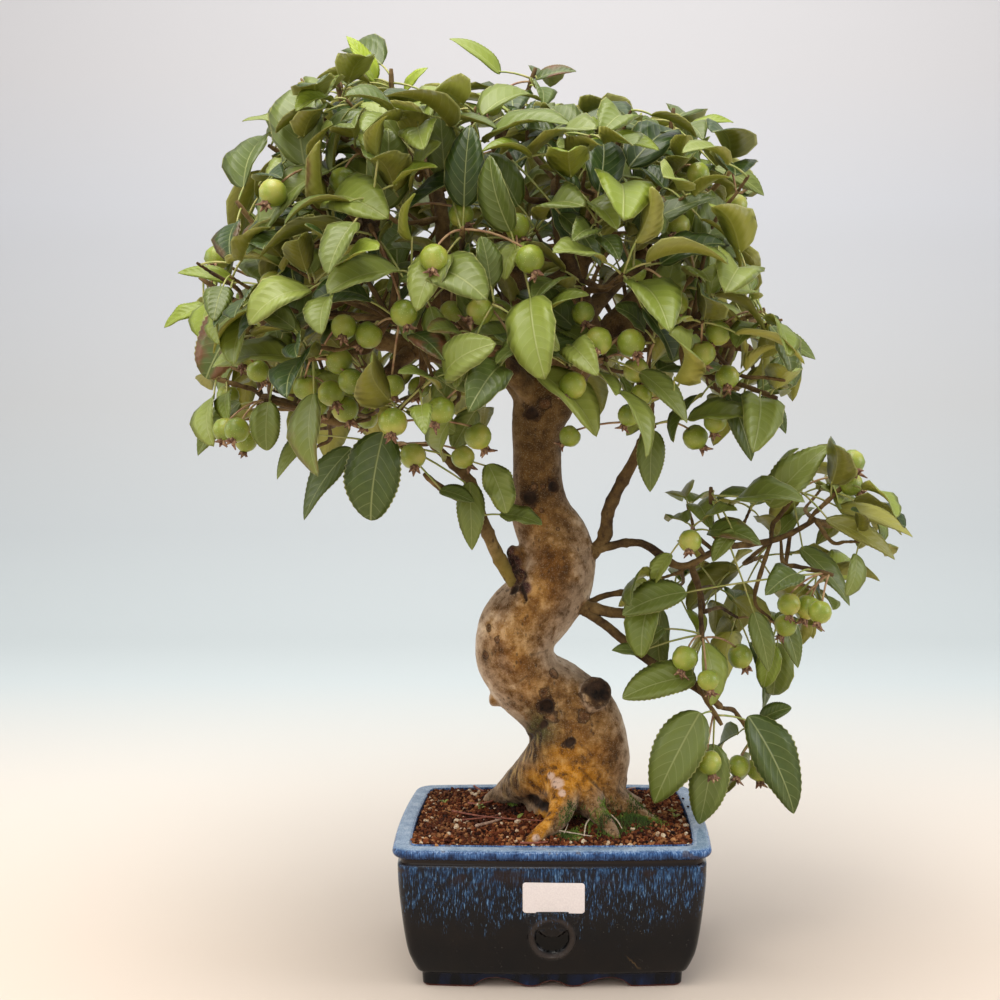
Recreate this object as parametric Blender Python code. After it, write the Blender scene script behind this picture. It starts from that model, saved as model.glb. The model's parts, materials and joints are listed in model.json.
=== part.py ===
"""Hall crabapple bonsai in a glazed pot.

Metres, +Z up, the pot standing on z = 0 with its front towards -Y. The tree is wider to the left than
to the right, so the pot's centre stands a little to the right of the origin.
"""
import math
import random

import bmesh
import bpy
import numpy as np
from mathutils import Vector
from mathutils.bvhtree import BVHTree

# Driving dimensions
POT_AT = np.array((0.0095, 0.0, 0.0))   # the pot's centre on the ground
POT_HALF = np.array((0.1146, 0.0893))   # half the rim's length and depth
POT_BOW = np.array((0.0026, 0.0032))    # how far the ends and the long sides bow out past the corners
POT_HEIGHT = 0.1038
RIM_CORNER = 0.014                      # the rim's outer corner radius
FLOOR_TOP = 0.022                       # inside floor of the pot
DRAIN_RADIUS = 0.007
DRAIN_APART = 0.045                     # each drain hole's distance from the pot's centre
GAP = 0.0003                            # between neighbours that touch on the real thing
SOIL_LEVEL = 0.1010                     # soil's height at the pot's wall
SOIL_MOUND = 0.004                      # how much higher it lies at the trunk
SOIL_CLEAR = 0.0007                     # the holes in the soil are this much wider than the wood all round
LABEL_SIZE = (0.043, 0.022)
LABEL_X = 0.0012                        # its middle, from the pot's middle
LABEL_LOW = 0.0590                      # its lower edge
LABEL_CORNER = 0.0015
LABEL_TILT = math.radians(0.7)
LEAF_THICK = 0.0008
FRUIT_RADIUS = 0.0095

# The view that the places below are given in: a pixel and a depth behind the pot's centre plane
VIEW_FOCAL = 1293.3
VIEW_CENTRE = (559.2, 500.0)
VIEW_EYE = np.array((0.0050, -0.9668, 0.3875))
VIEW_PITCH = math.radians(2.694)


def seen(u, v, depth):
    """The point at this depth that the view shows at pixel u, v."""
    forward = np.array((0.0, math.cos(VIEW_PITCH), -math.sin(VIEW_PITCH)))
    upward = np.array((0.0, math.sin(VIEW_PITCH), math.cos(VIEW_PITCH)))
    ray = forward - upward * (v - VIEW_CENTRE[1]) / VIEW_FOCAL
    ray[0] = (u - VIEW_CENTRE[0]) / VIEW_FOCAL
    return VIEW_EYE + ray * (depth - VIEW_EYE[1]) / ray[1] + POT_AT


def shown(point):
    """The pixel where the view shows a point, and how deep it lies behind the pot's centre plane."""
    reach = point - POT_AT - VIEW_EYE
    away = reach[1] * math.cos(VIEW_PITCH) - reach[2] * math.sin(VIEW_PITCH)
    rise = reach[1] * math.sin(VIEW_PITCH) + reach[2] * math.cos(VIEW_PITCH)
    return (VIEW_CENTRE[0] + VIEW_FOCAL * reach[0] / away, VIEW_CENTRE[1] - VIEW_FOCAL * rise / away,
            point[1] - POT_AT[1])


# Outlines of the crown and of the right-hand branch's leaves, in pixels, and how deep each mass is
CROWN_OUTLINE = (
    (172, 326), (205, 312), (196, 300), (226, 290), (184, 272), (218, 262), (222, 240), (240, 222),
    (264, 212), (276, 198), (252, 182), (280, 164), (272, 142), (250, 122), (284, 108), (290, 76),
    (318, 70), (342, 80), (346, 42), (368, 54), (376, 82), (400, 90), (424, 70), (430, 92), (452, 88),
    (456, 106), (478, 106), (496, 94), (514, 102), (524, 84), (540, 78), (560, 74), (568, 112),
    (584, 122), (604, 102), (640, 112), (654, 136), (668, 128), (672, 110), (692, 112), (730, 116),
    (716, 136), (712, 158), (740, 172), (764, 196), (724, 206), (742, 236), (748, 300), (722, 292),
    (724, 314), (768, 326), (816, 352), (794, 372), (798, 396), (774, 404), (790, 430), (764, 424),
    (754, 462), (734, 428), (716, 442), (694, 430), (668, 448), (652, 490), (636, 446), (604, 446),
    (590, 415), (575, 405), (530, 410), (535, 455), (512, 470), (520, 505), (545, 515), (530, 530),
    (500, 520), (478, 552), (462, 530), (455, 500), (430, 500), (436, 470), (410, 472), (395, 450),
    (372, 520), (350, 505), (350, 455), (302, 520), (318, 440), (300, 425), (276, 478), (282, 425),
    (258, 452), (240, 455), (226, 440), (196, 456), (222, 420), (214, 392), (198, 366), (194, 330))
BRANCH_OUTLINE = (
    (600, 612), (655, 570), (655, 515), (690, 488), (755, 500), (790, 442), (832, 440), (864, 456),
    (918, 536), (900, 560), (856, 607), (824, 630), (804, 672), (770, 676), (796, 704), (818, 745),
    (800, 818), (760, 782), (700, 830), (648, 806), (655, 740), (680, 705), (618, 698), (640, 648),
    (608, 655))
CROWN_DEPTH = 0.190
BRANCH_DEPTH = 0.085
CROWN_SIDE = 0.280                      # no leaf tip lies further to the left or right of the origin


def inside(outline, u, v):
    """Whether a pixel lies inside a closed outline."""
    crossings = 0
    for (u0, v0), (u1, v1) in zip(outline, outline[1:] + outline[:1]):
        if (v0 > v) != (v1 > v) and u < u0 + (v - v0) * (u1 - u0) / (v1 - v0):
            crossings += 1
    return crossings % 2 == 1


def in_crown(point, branch):
    """Whether a leaf tip stays within the mass of leaves that it belongs to."""
    u, v, depth = shown(point)
    outline, deepest = (BRANCH_OUTLINE, BRANCH_DEPTH) if branch else (CROWN_OUTLINE, CROWN_DEPTH)
    return inside(outline, u, v) and abs(depth) < deepest and abs(point[0]) < CROWN_SIDE


# Trunk: pixel, depth and diameter up its middle line, from its lowest seen point to the fork
TRUNK = (
    (573, 800, 0.007, 0.074), (578, 775, 0.006, 0.070), (578, 750, 0.004, 0.070), (574, 722, 0.005, 0.069),
    (556, 700, 0.004, 0.063), (530, 680, -0.002, 0.057), (516, 655, -0.006, 0.057), (520, 628, -0.006, 0.057),
    (540, 602, -0.002, 0.056), (556, 572, 0.003, 0.058), (553, 545, 0.005, 0.054), (541, 515, 0.003, 0.044),
    (538, 485, 0.001, 0.036), (538, 455, 0.000, 0.036), (539, 425, 0.000, 0.040), (546, 398, 0.000, 0.048),
    (547, 374, 0.000, 0.040), (546, 352, 0.002, 0.020))
TRUNK_FOOT = (0.006, 0.010, 0.068)      # end of the buried part, from the pot's centre
TRUNK_SIDES = 12
FOOT_RADIUS = 0.028                     # and its radius there
BASE_DEPTH = 0.76                       # the trunk is less deep than wide at its base, by this share
BASE_REACH = 6                          # over this many of the trunk's rings it grows round again

# Roots: pixel, depth and radius from inside the trunk's base out to where each sinks into the soil
ROOTS = (
    ((566, 780, -0.012, 0.0190), (563, 802, -0.034, 0.0110), (555, 822, -0.047, 0.0078),
     (530, 842, -0.062, 0.0038)),
    ((556, 762, 0.002, 0.0260), (528, 780, 0.012, 0.0170), (507, 792, 0.024, 0.0100),
     (486, 802, 0.038, 0.0035)),
    ((588, 782, -0.004, 0.0200), (615, 803, -0.008, 0.0120), (636, 815, -0.016, 0.0078),
     (660, 829, -0.026, 0.0035)),
    ((582, 792, -0.014, 0.0150), (596, 812, -0.034, 0.0078), (608, 827, -0.044, 0.0060),
     (617, 840, -0.056, 0.0032)),
    ((588, 778, 0.012, 0.0190), (608, 792, 0.024, 0.0115), (630, 802, 0.036, 0.0070),
     (650, 809, 0.046, 0.0035)),
    ((568, 776, 0.016, 0.0180), (560, 788, 0.034, 0.0110), (552, 795, 0.045, 0.0070),
     (545, 801, 0.052, 0.0035)))
ROOT_END = 0.0022                       # a root's radius at its buried end
ROOT_DIVE = 0.014                       # and how far that end lies below where it sinks in

# Stubs and cut ends on the trunk: pixels and depths from inside to the cut, and radius
STUBS = (
    ((588, 699, -0.012), (599, 690, -0.029), 0.0100),
    ((510, 698, -0.002), (489, 700, -0.004), 0.0050),
    ((530, 590, -0.006), (509, 582, -0.010), 0.0080),
    ((532, 572, -0.004), (512, 552, -0.006), 0.0070),
    ((564, 710, -0.012), (551, 715, -0.027), 0.0070))

# Limbs: pixels and depths from inside the wood they grow from, with the radius at each end
LIMBS = {
    "leader": (0.0150, 0.0050, ((545, 405, 0.000), (530, 345, 0.004), (516, 295, 0.010),
        (506, 240, 0.016), (500, 180, 0.016), (503, 120, 0.008))),
    "twin": (0.0110, 0.0040, ((548, 405, 0.000), (556, 350, -0.015), (572, 290, -0.035),
        (590, 230, -0.050), (600, 170, -0.040))),
    "right_up": (0.0120, 0.0040, ((552, 400, 0.002), (596, 345, 0.010), (645, 290, 0.018),
        (682, 235, 0.018), (700, 180, 0.008))),
    "right_low": (0.0080, 0.0035, ((610, 330, 0.013), (665, 335, 0.012), (720, 340, 0.005),
        (752, 350, 0.000))),
    "left_up": (0.0120, 0.0045, ((538, 400, 0.000), (480, 338, -0.006), (420, 285, -0.015),
        (365, 225, -0.020), (330, 160, -0.010))),
    "left_low": (0.0090, 0.0035, ((500, 358, -0.004), (430, 352, 0.004), (360, 335, 0.008),
        (290, 322, 0.006), (236, 312, 0.000))),
    "left_edge": (0.0050, 0.0030, ((410, 352, 0.000), (375, 385, -0.016), (341, 420, -0.026),
        (299, 408, -0.028), (262, 396, -0.020))),
    "front_left": (0.0080, 0.0035, ((538, 402, -0.004), (490, 352, -0.050), (430, 330, -0.090),
        (390, 318, -0.105))),
    "front_up": (0.0060, 0.0035, ((455, 338, -0.075), (445, 270, -0.100), (440, 205, -0.100),
        (420, 140, -0.070))),
    "front_right": (0.0080, 0.0035, ((555, 402, -0.004), (590, 362, -0.050), (640, 335, -0.085),
        (692, 325, -0.080))),
    "front_top": (0.0055, 0.0035, ((602, 355, -0.060), (580, 290, -0.105), (560, 235, -0.110),
        (555, 180, -0.085))),
    "back_left": (0.0085, 0.0035, ((538, 390, 0.006), (470, 320, 0.060), (400, 262, 0.100),
        (350, 220, 0.085))),
    "back_right": (0.0085, 0.0035, ((552, 385, 0.006), (592, 310, 0.065), (640, 255, 0.095),
        (660, 205, 0.080))),
    "back_mid": (0.0070, 0.0035, ((535, 350, 0.010), (515, 270, 0.080), (510, 200, 0.110),
        (500, 150, 0.085))),
    "low_left": (0.0065, 0.0030, ((530, 606, -0.010), (504, 567, -0.014), (484, 524, -0.018),
        (471, 484, -0.020), (449, 460, -0.022), (430, 442, -0.024))),
    "low_left_fork": (0.0030, 0.0022, ((474, 505, -0.019), (447, 492, -0.034), (424, 474, -0.045))),
    "right_rise": (0.0065, 0.0035, ((578, 566, 0.004), (603, 540, 0.000), (610, 506, -0.006),
        (634, 460, -0.014), (647, 430, -0.022), (650, 400, -0.036))),
    "right_arm": (0.0048, 0.0030, ((596, 549, 0.000), (640, 543, -0.008), (681, 566, -0.014),
        (722, 548, -0.014), (775, 540, -0.006), (815, 520, -0.004))),
    "right_drop": (0.0048, 0.0030, ((576, 606, 0.000), (608, 627, -0.010), (648, 660, -0.020),
        (700, 690, -0.026), (722, 708, -0.022))),
    "right_stub": (0.0050, 0.0042, ((576, 604, 0.000), (610, 612, -0.006), (646, 614, -0.010))),
    "right_twig": (0.0032, 0.0024, ((580, 607, 0.002), (604, 596, 0.006), (631, 591, 0.008))),
    "right_inner": (0.0034, 0.0026, ((690, 562, -0.014), (700, 592, -0.018), (704, 612, -0.020)))}

# Leafy shoots: pixel and depth where each begins, and how many leaves it carries
SHOOTS = (
    # round the crown's edge
    (234, 300, 0.000, 5), (262, 236, -0.020, 5), (300, 165, 0.005, 5), (345, 118, -0.015, 5),
    (392, 112, -0.020, 5), (522, 108, 0.000, 5), (572, 150, -0.026, 5), (668, 150, 0.000, 5),
    (706, 196, -0.020, 5), (728, 326, -0.010, 5), (742, 385, -0.030, 5), (640, 408, -0.045, 3),
    (248, 388, -0.018, 5), (302, 408, -0.032, 4),
    # the front
    (300, 300, -0.080, 3), (335, 222, -0.085, 4), (388, 172, -0.090, 3), (458, 172, -0.105, 4),
    (525, 190, -0.105, 3), (592, 212, -0.100, 4), (352, 352, -0.100, 3), (388, 262, -0.118, 3),
    (462, 252, -0.125, 3), (535, 278, -0.125, 3), (612, 285, -0.115, 3), (672, 300, -0.095, 4),
    (408, 400, -0.105, 3), (508, 350, -0.118, 4), (592, 350, -0.110, 3), (700, 372, -0.070, 4),
    # the back
    (300, 300, 0.085, 6), (420, 150, 0.085, 6), (520, 150, 0.090, 6), (610, 190, 0.090, 6),
    (680, 250, 0.080, 6), (400, 265, 0.125, 6), (500, 250, 0.135, 5), (600, 285, 0.125, 6),
    (440, 355, 0.105, 5), (560, 350, 0.100, 5), (655, 350, 0.080, 6),
    # the low left branch
    (468, 492, -0.030, 3), (426, 444, -0.030, 4),
    # the right-hand branch
    (712, 524, -0.020, 4), (778, 518, 0.000, 4), (818, 510, -0.004, 4), (795, 566, -0.022, 4),
    (700, 604, -0.022, 4), (700, 690, -0.030, 3), (738, 716, -0.012, 4), (752, 560, 0.045, 5),
    # more at the crown's back and far sides
    (330, 180, 0.085, 5), (262, 340, 0.060, 5), (735, 330, 0.060, 5), (715, 230, 0.045, 5),
    (350, 375, 0.080, 5))
CROWN_CORE = (520, 330, 0.005)          # what the crown's shoots point away from
BRANCH_CORE = (700, 560, 0.000)         # and those of the right-hand branch
BRANCH_SHOOTS = (44, 51)                # the first and last shoot of the right-hand branch
SHOOT_LENGTH = 0.030
SHOOT_RADIUS = 0.0019

# Leaves that stand out: pixels of blade base and tip, depth, and width as a share of length
MARKED_LEAVES = (
    (375, 82, 348, 34, -0.020, 0.42), (405, 92, 426, 66, -0.022, 0.40), (500, 74, 450, 37, 0.000, 0.40),
    (535, 80, 576, 70, 0.000, 0.45), (584, 118, 655, 130, -0.036, 0.50),
    (690, 128, 733, 118, 0.000, 0.40), (715, 168, 765, 194, -0.020, 0.45),
    (630, 236, 716, 194, -0.112, 0.42), (700, 240, 750, 290, -0.075, 0.45),
    (290, 126, 242, 118, 0.004, 0.40), (236, 284, 178, 270, -0.008, 0.36),
    (206, 306, 163, 326, 0.000, 0.42), (250, 306, 205, 378, -0.050, 0.62),
    (240, 402, 195, 454, -0.020, 0.40), (268, 402, 266, 450, -0.036, 0.62),
    (312, 432, 275, 478, -0.036, 0.42), (352, 448, 300, 518, -0.060, 0.42),
    (384, 432, 368, 520, -0.115, 0.64), (470, 482, 472, 550, -0.036, 0.42),
    (488, 464, 508, 512, -0.050, 0.62), (440, 490, 474, 502, -0.040, 0.55),
    (500, 514, 542, 522, -0.034, 0.60), (760, 336, 817, 356, -0.012, 0.42),
    (762, 395, 788, 432, -0.034, 0.40), (728, 392, 754, 460, -0.062, 0.42),
    (652, 430, 650, 492, -0.050, 0.46), (445, 180, 440, 106, -0.110, 0.46),
    (768, 506, 828, 444, -0.018, 0.46), (838, 508, 915, 534, -0.006, 0.34),
    (826, 520, 898, 556, -0.018, 0.34), (800, 548, 853, 604, 0.004, 0.38),
    (778, 612, 800, 668, -0.012, 0.42), (754, 612, 770, 672, -0.034, 0.40),
    (686, 592, 622, 610, -0.034, 0.54), (664, 628, 642, 646, -0.026, 0.60),
    (696, 676, 622, 694, -0.040, 0.56), (700, 712, 652, 804, -0.044, 0.50),
    (714, 744, 700, 826, -0.030, 0.50), (748, 716, 798, 814, -0.020, 0.44),
    (760, 720, 790, 706, -0.004, 0.62), (642, 652, 612, 650, -0.020, 0.50),
    (735, 530, 712, 560, -0.050, 0.55), (530, 340, 586, 362, -0.140, 0.55),
    (436, 372, 488, 392, -0.150, 0.55), (400, 280, 482, 286, -0.150, 0.34),
    (280, 330, 345, 290, -0.112, 0.60), (560, 214, 604, 262, -0.142, 0.46),
    (640, 372, 690, 420, -0.120, 0.46))

# Fruits: pixel and depth of each one's middle
FRUITS = (
    (217, 258, -0.010), (343, 181, -0.110), (273, 284, -0.085), (344, 327, -0.130), (404, 313, -0.150),
    (517, 226, -0.140), (530, 259, -0.155), (491, 104, -0.020), (480, 311, -0.150), (631, 343, -0.145),
    (598, 341, -0.150), (678, 226, -0.120), (736, 205, -0.030), (676, 303, -0.130), (770, 409, -0.030),
    (727, 377, -0.080), (243, 356, -0.035), (283, 391, -0.045), (393, 422, -0.140), (441, 410, -0.150),
    (478, 436, -0.080), (228, 396, -0.010), (495, 523, -0.050), (852, 462, -0.020), (789, 604, -0.040),
    (808, 607, -0.030), (685, 658, -0.040), (740, 656, -0.010), (709, 762, -0.040), (758, 769, -0.008),
    (330, 300, 0.110), (470, 300, 0.150), (620, 320, 0.130), (560, 230, 0.130), (400, 360, 0.110))
FRUIT_REACH = 0.085                     # no stalk is longer than this


def clear_scene():
    for item in list(bpy.data.objects):
        bpy.data.objects.remove(item, do_unlink=True)


def material(name, colour, roughness):
    made = bpy.data.materials.new(name)
    made.use_nodes = True
    shader = made.node_tree.nodes["Principled BSDF"]
    shader.inputs["Base Color"].default_value = (*colour, 1.0)
    shader.inputs["Roughness"].default_value = roughness
    made.diffuse_color = (*colour, 1.0)
    return made


def mesh_object(name, points, faces, finish=None):
    mesh = bpy.data.meshes.new(name)
    mesh.from_pydata([tuple(map(float, p)) for p in points], [], faces)
    mesh.update()
    made = bpy.data.objects.new(name, mesh)
    bpy.context.scene.collection.objects.link(made)
    if finish:
        mesh.materials.append(finish)
    return made


def apply_modifiers(item):
    graph = bpy.context.evaluated_depsgraph_get()
    mesh = bpy.data.meshes.new_from_object(item.evaluated_get(graph))
    old = item.data
    item.modifiers.clear()
    item.data = mesh
    bpy.data.meshes.remove(old)


def combine(item, others, operation, solver="EXACT"):
    """One Boolean of the item with all the others, which are then removed."""
    group = bpy.data.collections.new(item.name + "_parts")
    for other in others:
        group.objects.link(other)
    boolean = item.modifiers.new("combine", "BOOLEAN")
    boolean.operation = operation
    boolean.operand_type = "COLLECTION"
    boolean.collection = group
    boolean.solver = solver
    apply_modifiers(item)
    for other in others:
        bpy.data.objects.remove(other, do_unlink=True)
    bpy.data.collections.remove(group)


def unit(vector):
    return vector / np.linalg.norm(vector)


def loft_faces(rings, sides, flat=False):
    """Faces of a closed loft: rings of equal size one after another, and a cap at each end.

    Walls whose four corners are flat stay whole, and others are split alike on every loft.
    """
    faces = []
    for r in range(rings - 1):
        for s in range(sides):
            a, b = r * sides + s, r * sides + (s + 1) % sides
            if flat:
                faces.append((a, b, b + sides, a + sides))
            else:
                faces += [(a, b, b + sides), (a, b + sides, a + sides)]
    faces.append(tuple(reversed(range(sides))))
    faces.append(tuple(range((rings - 1) * sides, rings * sides)))
    return faces


def smooth_line(points, count):
    """A Catmull-Rom curve through the points, sampled at equal steps of their index."""
    points = np.array(points, float)
    padded = np.vstack([2 * points[0] - points[1], points, 2 * points[-1] - points[-2]])
    places = np.linspace(0.0, len(points) - 1.0001, count)
    whole = places.astype(int)
    t = (places - whole)[:, None]
    p0, p1, p2, p3 = (padded[whole + k] for k in range(4))
    return 0.5 * (2 * p1 + (p2 - p0) * t + (2 * p0 - 5 * p1 + 4 * p2 - p3) * t ** 2
                  + (3 * p1 - p0 - 3 * p2 + p3) * t ** 3)


def frames_along(line):
    """Tangent and two normals at each point of a line, turned as little as possible on the way."""
    tangents = np.gradient(line, axis=0)
    tangents /= np.linalg.norm(tangents, axis=1)[:, None]
    start = np.array((0.0, -1.0, 0.0)) if abs(tangents[0][1]) < 0.9 else np.array((1.0, 0.0, 0.0))
    first = []
    for tangent in tangents:
        start = unit(start - tangent * start.dot(tangent))
        first.append(start)
    first = np.array(first)
    return tangents, first, np.cross(tangents, first)


def limb_object(name, line, radii, sides, finish=None):
    """A tapering round limb along a line."""
    tangents, first, second = frames_along(line)
    turn = np.linspace(0.0, 2 * math.pi, sides, endpoint=False)
    rings = (line[:, None] + radii[:, None, None] * (np.cos(turn)[None, :, None] * first[:, None]
                                                     + np.sin(turn)[None, :, None] * second[:, None]))
    return mesh_object(name, rings.reshape(-1, 3), loft_faces(len(line), sides), finish)


# Pot
CORNER_STEPS = 3                        # points round each corner of the pot
CORNER_LEAST = 0.006                    # no ring of the pot has a tighter corner


def rounded_ring(inset, height):
    """Points of the pot's plan, set in from the rim's face, at one height, counter-clockwise from above.

    The corners are arcs, and the middle third of each side stands out past them by the pot's bow.
    """
    corner = max(RIM_CORNER - 0.7 * inset, CORNER_LEAST)
    half = POT_HALF - inset
    centre = half - POT_BOW - corner
    ring = []
    for quarter, (sign_x, sign_y) in enumerate(((1, 1), (-1, 1), (-1, -1), (1, -1))):
        for step in range(CORNER_STEPS):
            angle = math.pi / 2 * (quarter + step / (CORNER_STEPS - 1))
            ring.append((sign_x * centre[0] + corner * math.cos(angle),
                         sign_y * centre[1] + corner * math.sin(angle), height))
        if quarter % 2 == 0:
            ring += [(sign_x * k * centre[0] / 3, sign_y * half[1], height) for k in (1, -1)]
        else:
            ring += [(sign_x * half[0], sign_y * k * centre[1] / 3, height) for k in (1, -1)]
    return ring


# Wall outside and inside: how far each ring is set in from the rim's outer face, and its height
FOOT_OUTSIDE = ((0.0196, 0.0000), (0.0192, 0.0100))
BODY_OUTSIDE = (
    (0.0158, 0.0130), (0.0108, 0.0260), (0.0083, 0.0380), (0.0060, 0.0550), (0.0040, 0.0750),
    (0.0034, 0.0900))
RIM_OUTSIDE = ((0.0054, 0.0918), (0.0054, 0.0958), (0.0006, 0.0970), (0.0000, 0.1000), (0.0024, 0.1038))
INSIDE = (
    (0.0110, 0.1038), (0.0130, 0.1020), (0.0150, 0.0700), (0.0200, 0.0400), (0.0320, 0.0220))
FOOT_RING_IN = 0.0325                   # inner face of the foot ring, set in from the rim
UNDERSIDE = 0.0100                      # the pot's floor seen from below


def front_face(height):
    """How far the middle of the long sides' outer face stands from the pot's centre at this height."""
    insets, heights = zip(*(FOOT_OUTSIDE[1:] + BODY_OUTSIDE))
    return POT_HALF[1] - float(np.interp(height, heights, insets))


def make_pot(finish):
    rings = ((FOOT_RING_IN, UNDERSIDE), (FOOT_RING_IN - 0.001, 0.0)) + (
        FOOT_OUTSIDE + BODY_OUTSIDE + RIM_OUTSIDE + INSIDE)
    points = []
    for inset, height in rings:
        points += rounded_ring(inset, height)
    sides = len(points) // len(rings)
    pot = mesh_object("pot", np.array(points) + POT_AT, loft_faces(len(rings), sides, True), finish)
    cutters = []
    for side in (-1, 1):
        middle = POT_AT + np.array((side * DRAIN_APART, 0.0, UNDERSIDE))
        line = middle + np.array(((0, 0, -0.004), (0, 0, 0.020)), float)
        cutters.append(limb_object("drain", line, np.full(2, DRAIN_RADIUS), 12))
    cutters.append(arch_cutter("front_arches", FRONT_ARCH, 0))
    cutters.append(arch_cutter("side_arches", SIDE_ARCH, 1))
    combine(pot, cutters, "DIFFERENCE")
    combine(pot, front_ornament(-1) + front_ornament(1), "UNION")
    return pot


# Lower edge of the apron between the feet, from the pot's middle out: distance and height
FRONT_ARCH = (
    (-0.0560, -0.004), (-0.0550, 0.0006), (-0.0510, 0.0040), (-0.0460, 0.0062), (-0.0395, 0.0068),
    (-0.0320, 0.0056), (-0.0250, 0.0028), (-0.0195, 0.0008), (-0.0145, 0.0003), (-0.0095, 0.0012),
    (-0.0055, 0.0034), (0.0000, 0.0048))
SIDE_ARCH = (
    (-0.0400, -0.004), (-0.0370, 0.0010), (-0.0340, 0.0045), (-0.0270, 0.0068), (-0.0180, 0.0060),
    (-0.0120, 0.0030), (-0.0060, 0.0018), (0.0000, 0.0026))


def arch_cutter(name, half, axis):
    """A long bar whose top edge is the apron's lower edge; it cuts the ring on both sides."""
    profile = list(half) + [(-x, z) for x, z in reversed(half[:-1])]
    reach = 0.12
    points = []
    for end in (-reach, reach):
        for across, height in profile:
            point = np.array((across, end, height)) if axis == 0 else np.array((-end, across, height))
            points.append(point + POT_AT)
    return mesh_object(name, points, loft_faces(2, len(profile), True))


RING_HEIGHT = 0.0410                    # middle of the ring ornament
RING_RADIUS = 0.0150
RING_BAND = 0.0024                      # radius of the ring's round section
DROP_SIDES = 8
BOSS = ((0.0, 0.0525), (0.0130, 0.0510), (0.0175, 0.0530), (0.0190, 0.0570), (0.0, 0.0583))
BOSS_HEIGHT = 0.0550                    # what the boss's face shrinks towards


def front_ornament(side):
    """The ring and the mask-like boss that seems to hold it, in low relief on one long face."""
    steps, section = 14, 4
    points = []
    for i in range(steps):
        turn = 2 * math.pi * i / steps
        for j in range(section):
            roll = 2 * math.pi * j / section
            radius = RING_RADIUS + RING_BAND * math.cos(roll)
            height = RING_HEIGHT + radius * math.sin(turn)
            points.append((radius * math.cos(turn), front_face(height) + RING_BAND * math.sin(roll), height))
    faces = []
    for i in range(steps):
        for j in range(section):
            a, b = i * section + j, i * section + (j + 1) % section
            c, d = ((i + 1) % steps) * section + (j + 1) % section, ((i + 1) % steps) * section + j
            faces.append((a, b, c, d))
    ring = np.array(points)
    outline = [(-x, z) for x, z in BOSS] + [(x, z) for x, z in reversed(BOSS[1:-1])]
    boss = []
    for stand, shrink in ((-0.002, 1.0), (0.0016, 1.0), (0.0030, 0.7)):
        for x, z in outline:
            height = BOSS_HEIGHT + (z - BOSS_HEIGHT) * shrink
            boss.append((x * shrink, front_face(height) + stand, height))
    drop = []
    for stand, radius in ((-0.002, 0.0085), (0.0018, 0.0085), (0.0030, 0.0055)):
        for k in range(DROP_SIDES):
            turn = 2 * math.pi * k / DROP_SIDES
            height = RING_HEIGHT + 0.0040 + 1.25 * radius * math.sin(turn)
            drop.append((radius * math.cos(turn), front_face(height) + stand, height))
    made = []
    for name, shape, shape_faces in (("ring", ring, faces),
                                     ("boss", np.array(boss), loft_faces(3, len(outline), True)),
                                     ("drop", np.array(drop), loft_faces(3, DROP_SIDES, True))):
        flip = np.array((1, side, 1))
        turned = [tuple(reversed(face)) for face in shape_faces] if side == 1 else shape_faces
        made.append(mesh_object(name, shape * flip + POT_AT, turned))
    for item in made:
        outward(item)
    return made


def outward(item):
    """Turn all faces of a closed mesh outwards."""
    work = bmesh.new()
    work.from_mesh(item.data)
    bmesh.ops.recalc_face_normals(work, faces=work.faces)
    work.to_mesh(item.data)
    work.free()


def make_label(finish):
    """A thin paper label with cut corners that follows the front wall."""
    low, high = LABEL_LOW, LABEL_LOW + LABEL_SIZE[1]
    rows = ((low, LABEL_CORNER), (low + LABEL_CORNER, 0.0), (high - LABEL_CORNER, 0.0), (high, LABEL_CORNER))
    points = []
    for height, cut in rows:
        half = LABEL_SIZE[0] / 2 - cut
        for x, stand in ((-half, GAP), (half, GAP), (half, 2 * GAP), (-half, 2 * GAP)):
            points.append((LABEL_X + x, -(front_face(height) + stand), height - x * math.sin(LABEL_TILT)))
    label = mesh_object("blank_label", np.array(points) + POT_AT, loft_faces(len(rows), 4), finish)
    outward(label)
    return label


# Wood
def trunk_line():
    """The trunk's middle line and radii, with the buried foot first."""
    points = [POT_AT + np.array(TRUNK_FOOT)] + [seen(u, v, depth) for u, v, depth, _ in TRUNK]
    radii = [FOOT_RADIUS] + [diameter / 2 for *_, diameter in TRUNK]
    count = 27
    return smooth_line(points, count), smooth_line(np.array(radii)[:, None], count)[:, 0]


def trunk_object(extra, finish=None):
    """The trunk: its section swells and dips a little round the turn, and flares into the roots."""
    line, radii = trunk_line()
    tangents, first, second = frames_along(line)
    line[0] -= tangents[0] * 2 * extra
    sides = TRUNK_SIDES
    turn = np.linspace(0.0, 2 * math.pi, sides, endpoint=False)
    along = np.linspace(0.0, 1.0, len(line))[:, None]
    swell = (1.0 + 0.05 * np.cos(3 * turn + 14 * along) + 0.035 * np.cos(2 * turn - 23 * along + 1.0)
             + 0.02 * np.cos(5 * turn + 31 * along))
    reach = (radii[:, None] * swell + extra)[..., None]
    depth = np.interp(np.arange(len(line)), (0, BASE_REACH), (BASE_DEPTH, 1.0))[:, None, None]
    rings = line[:, None] + reach * (np.cos(turn)[None, :, None] * first[:, None] * depth
                                     + np.sin(turn)[None, :, None] * second[:, None])
    return mesh_object("tree_wood", rings.reshape(-1, 3), loft_faces(len(line), sides), finish)


def root_objects(extra):
    roots = []
    for number, places in enumerate(ROOTS):
        points = [seen(u, v, depth) for u, v, depth, _ in places]
        points.append(points[-1] + (points[-1] - points[-2]) * 0.15 - np.array((0, 0, ROOT_DIVE)))
        radii = np.array([radius for *_, radius in places] + [ROOT_END])
        line = smooth_line(points, 5)
        thick = smooth_line(radii[:, None], 5)[:, 0] + extra
        line[-1] += unit(line[-1] - line[-2]) * 2 * extra
        roots.append(limb_object("root_%d" % number, line, thick, 5))
    return roots


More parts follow.
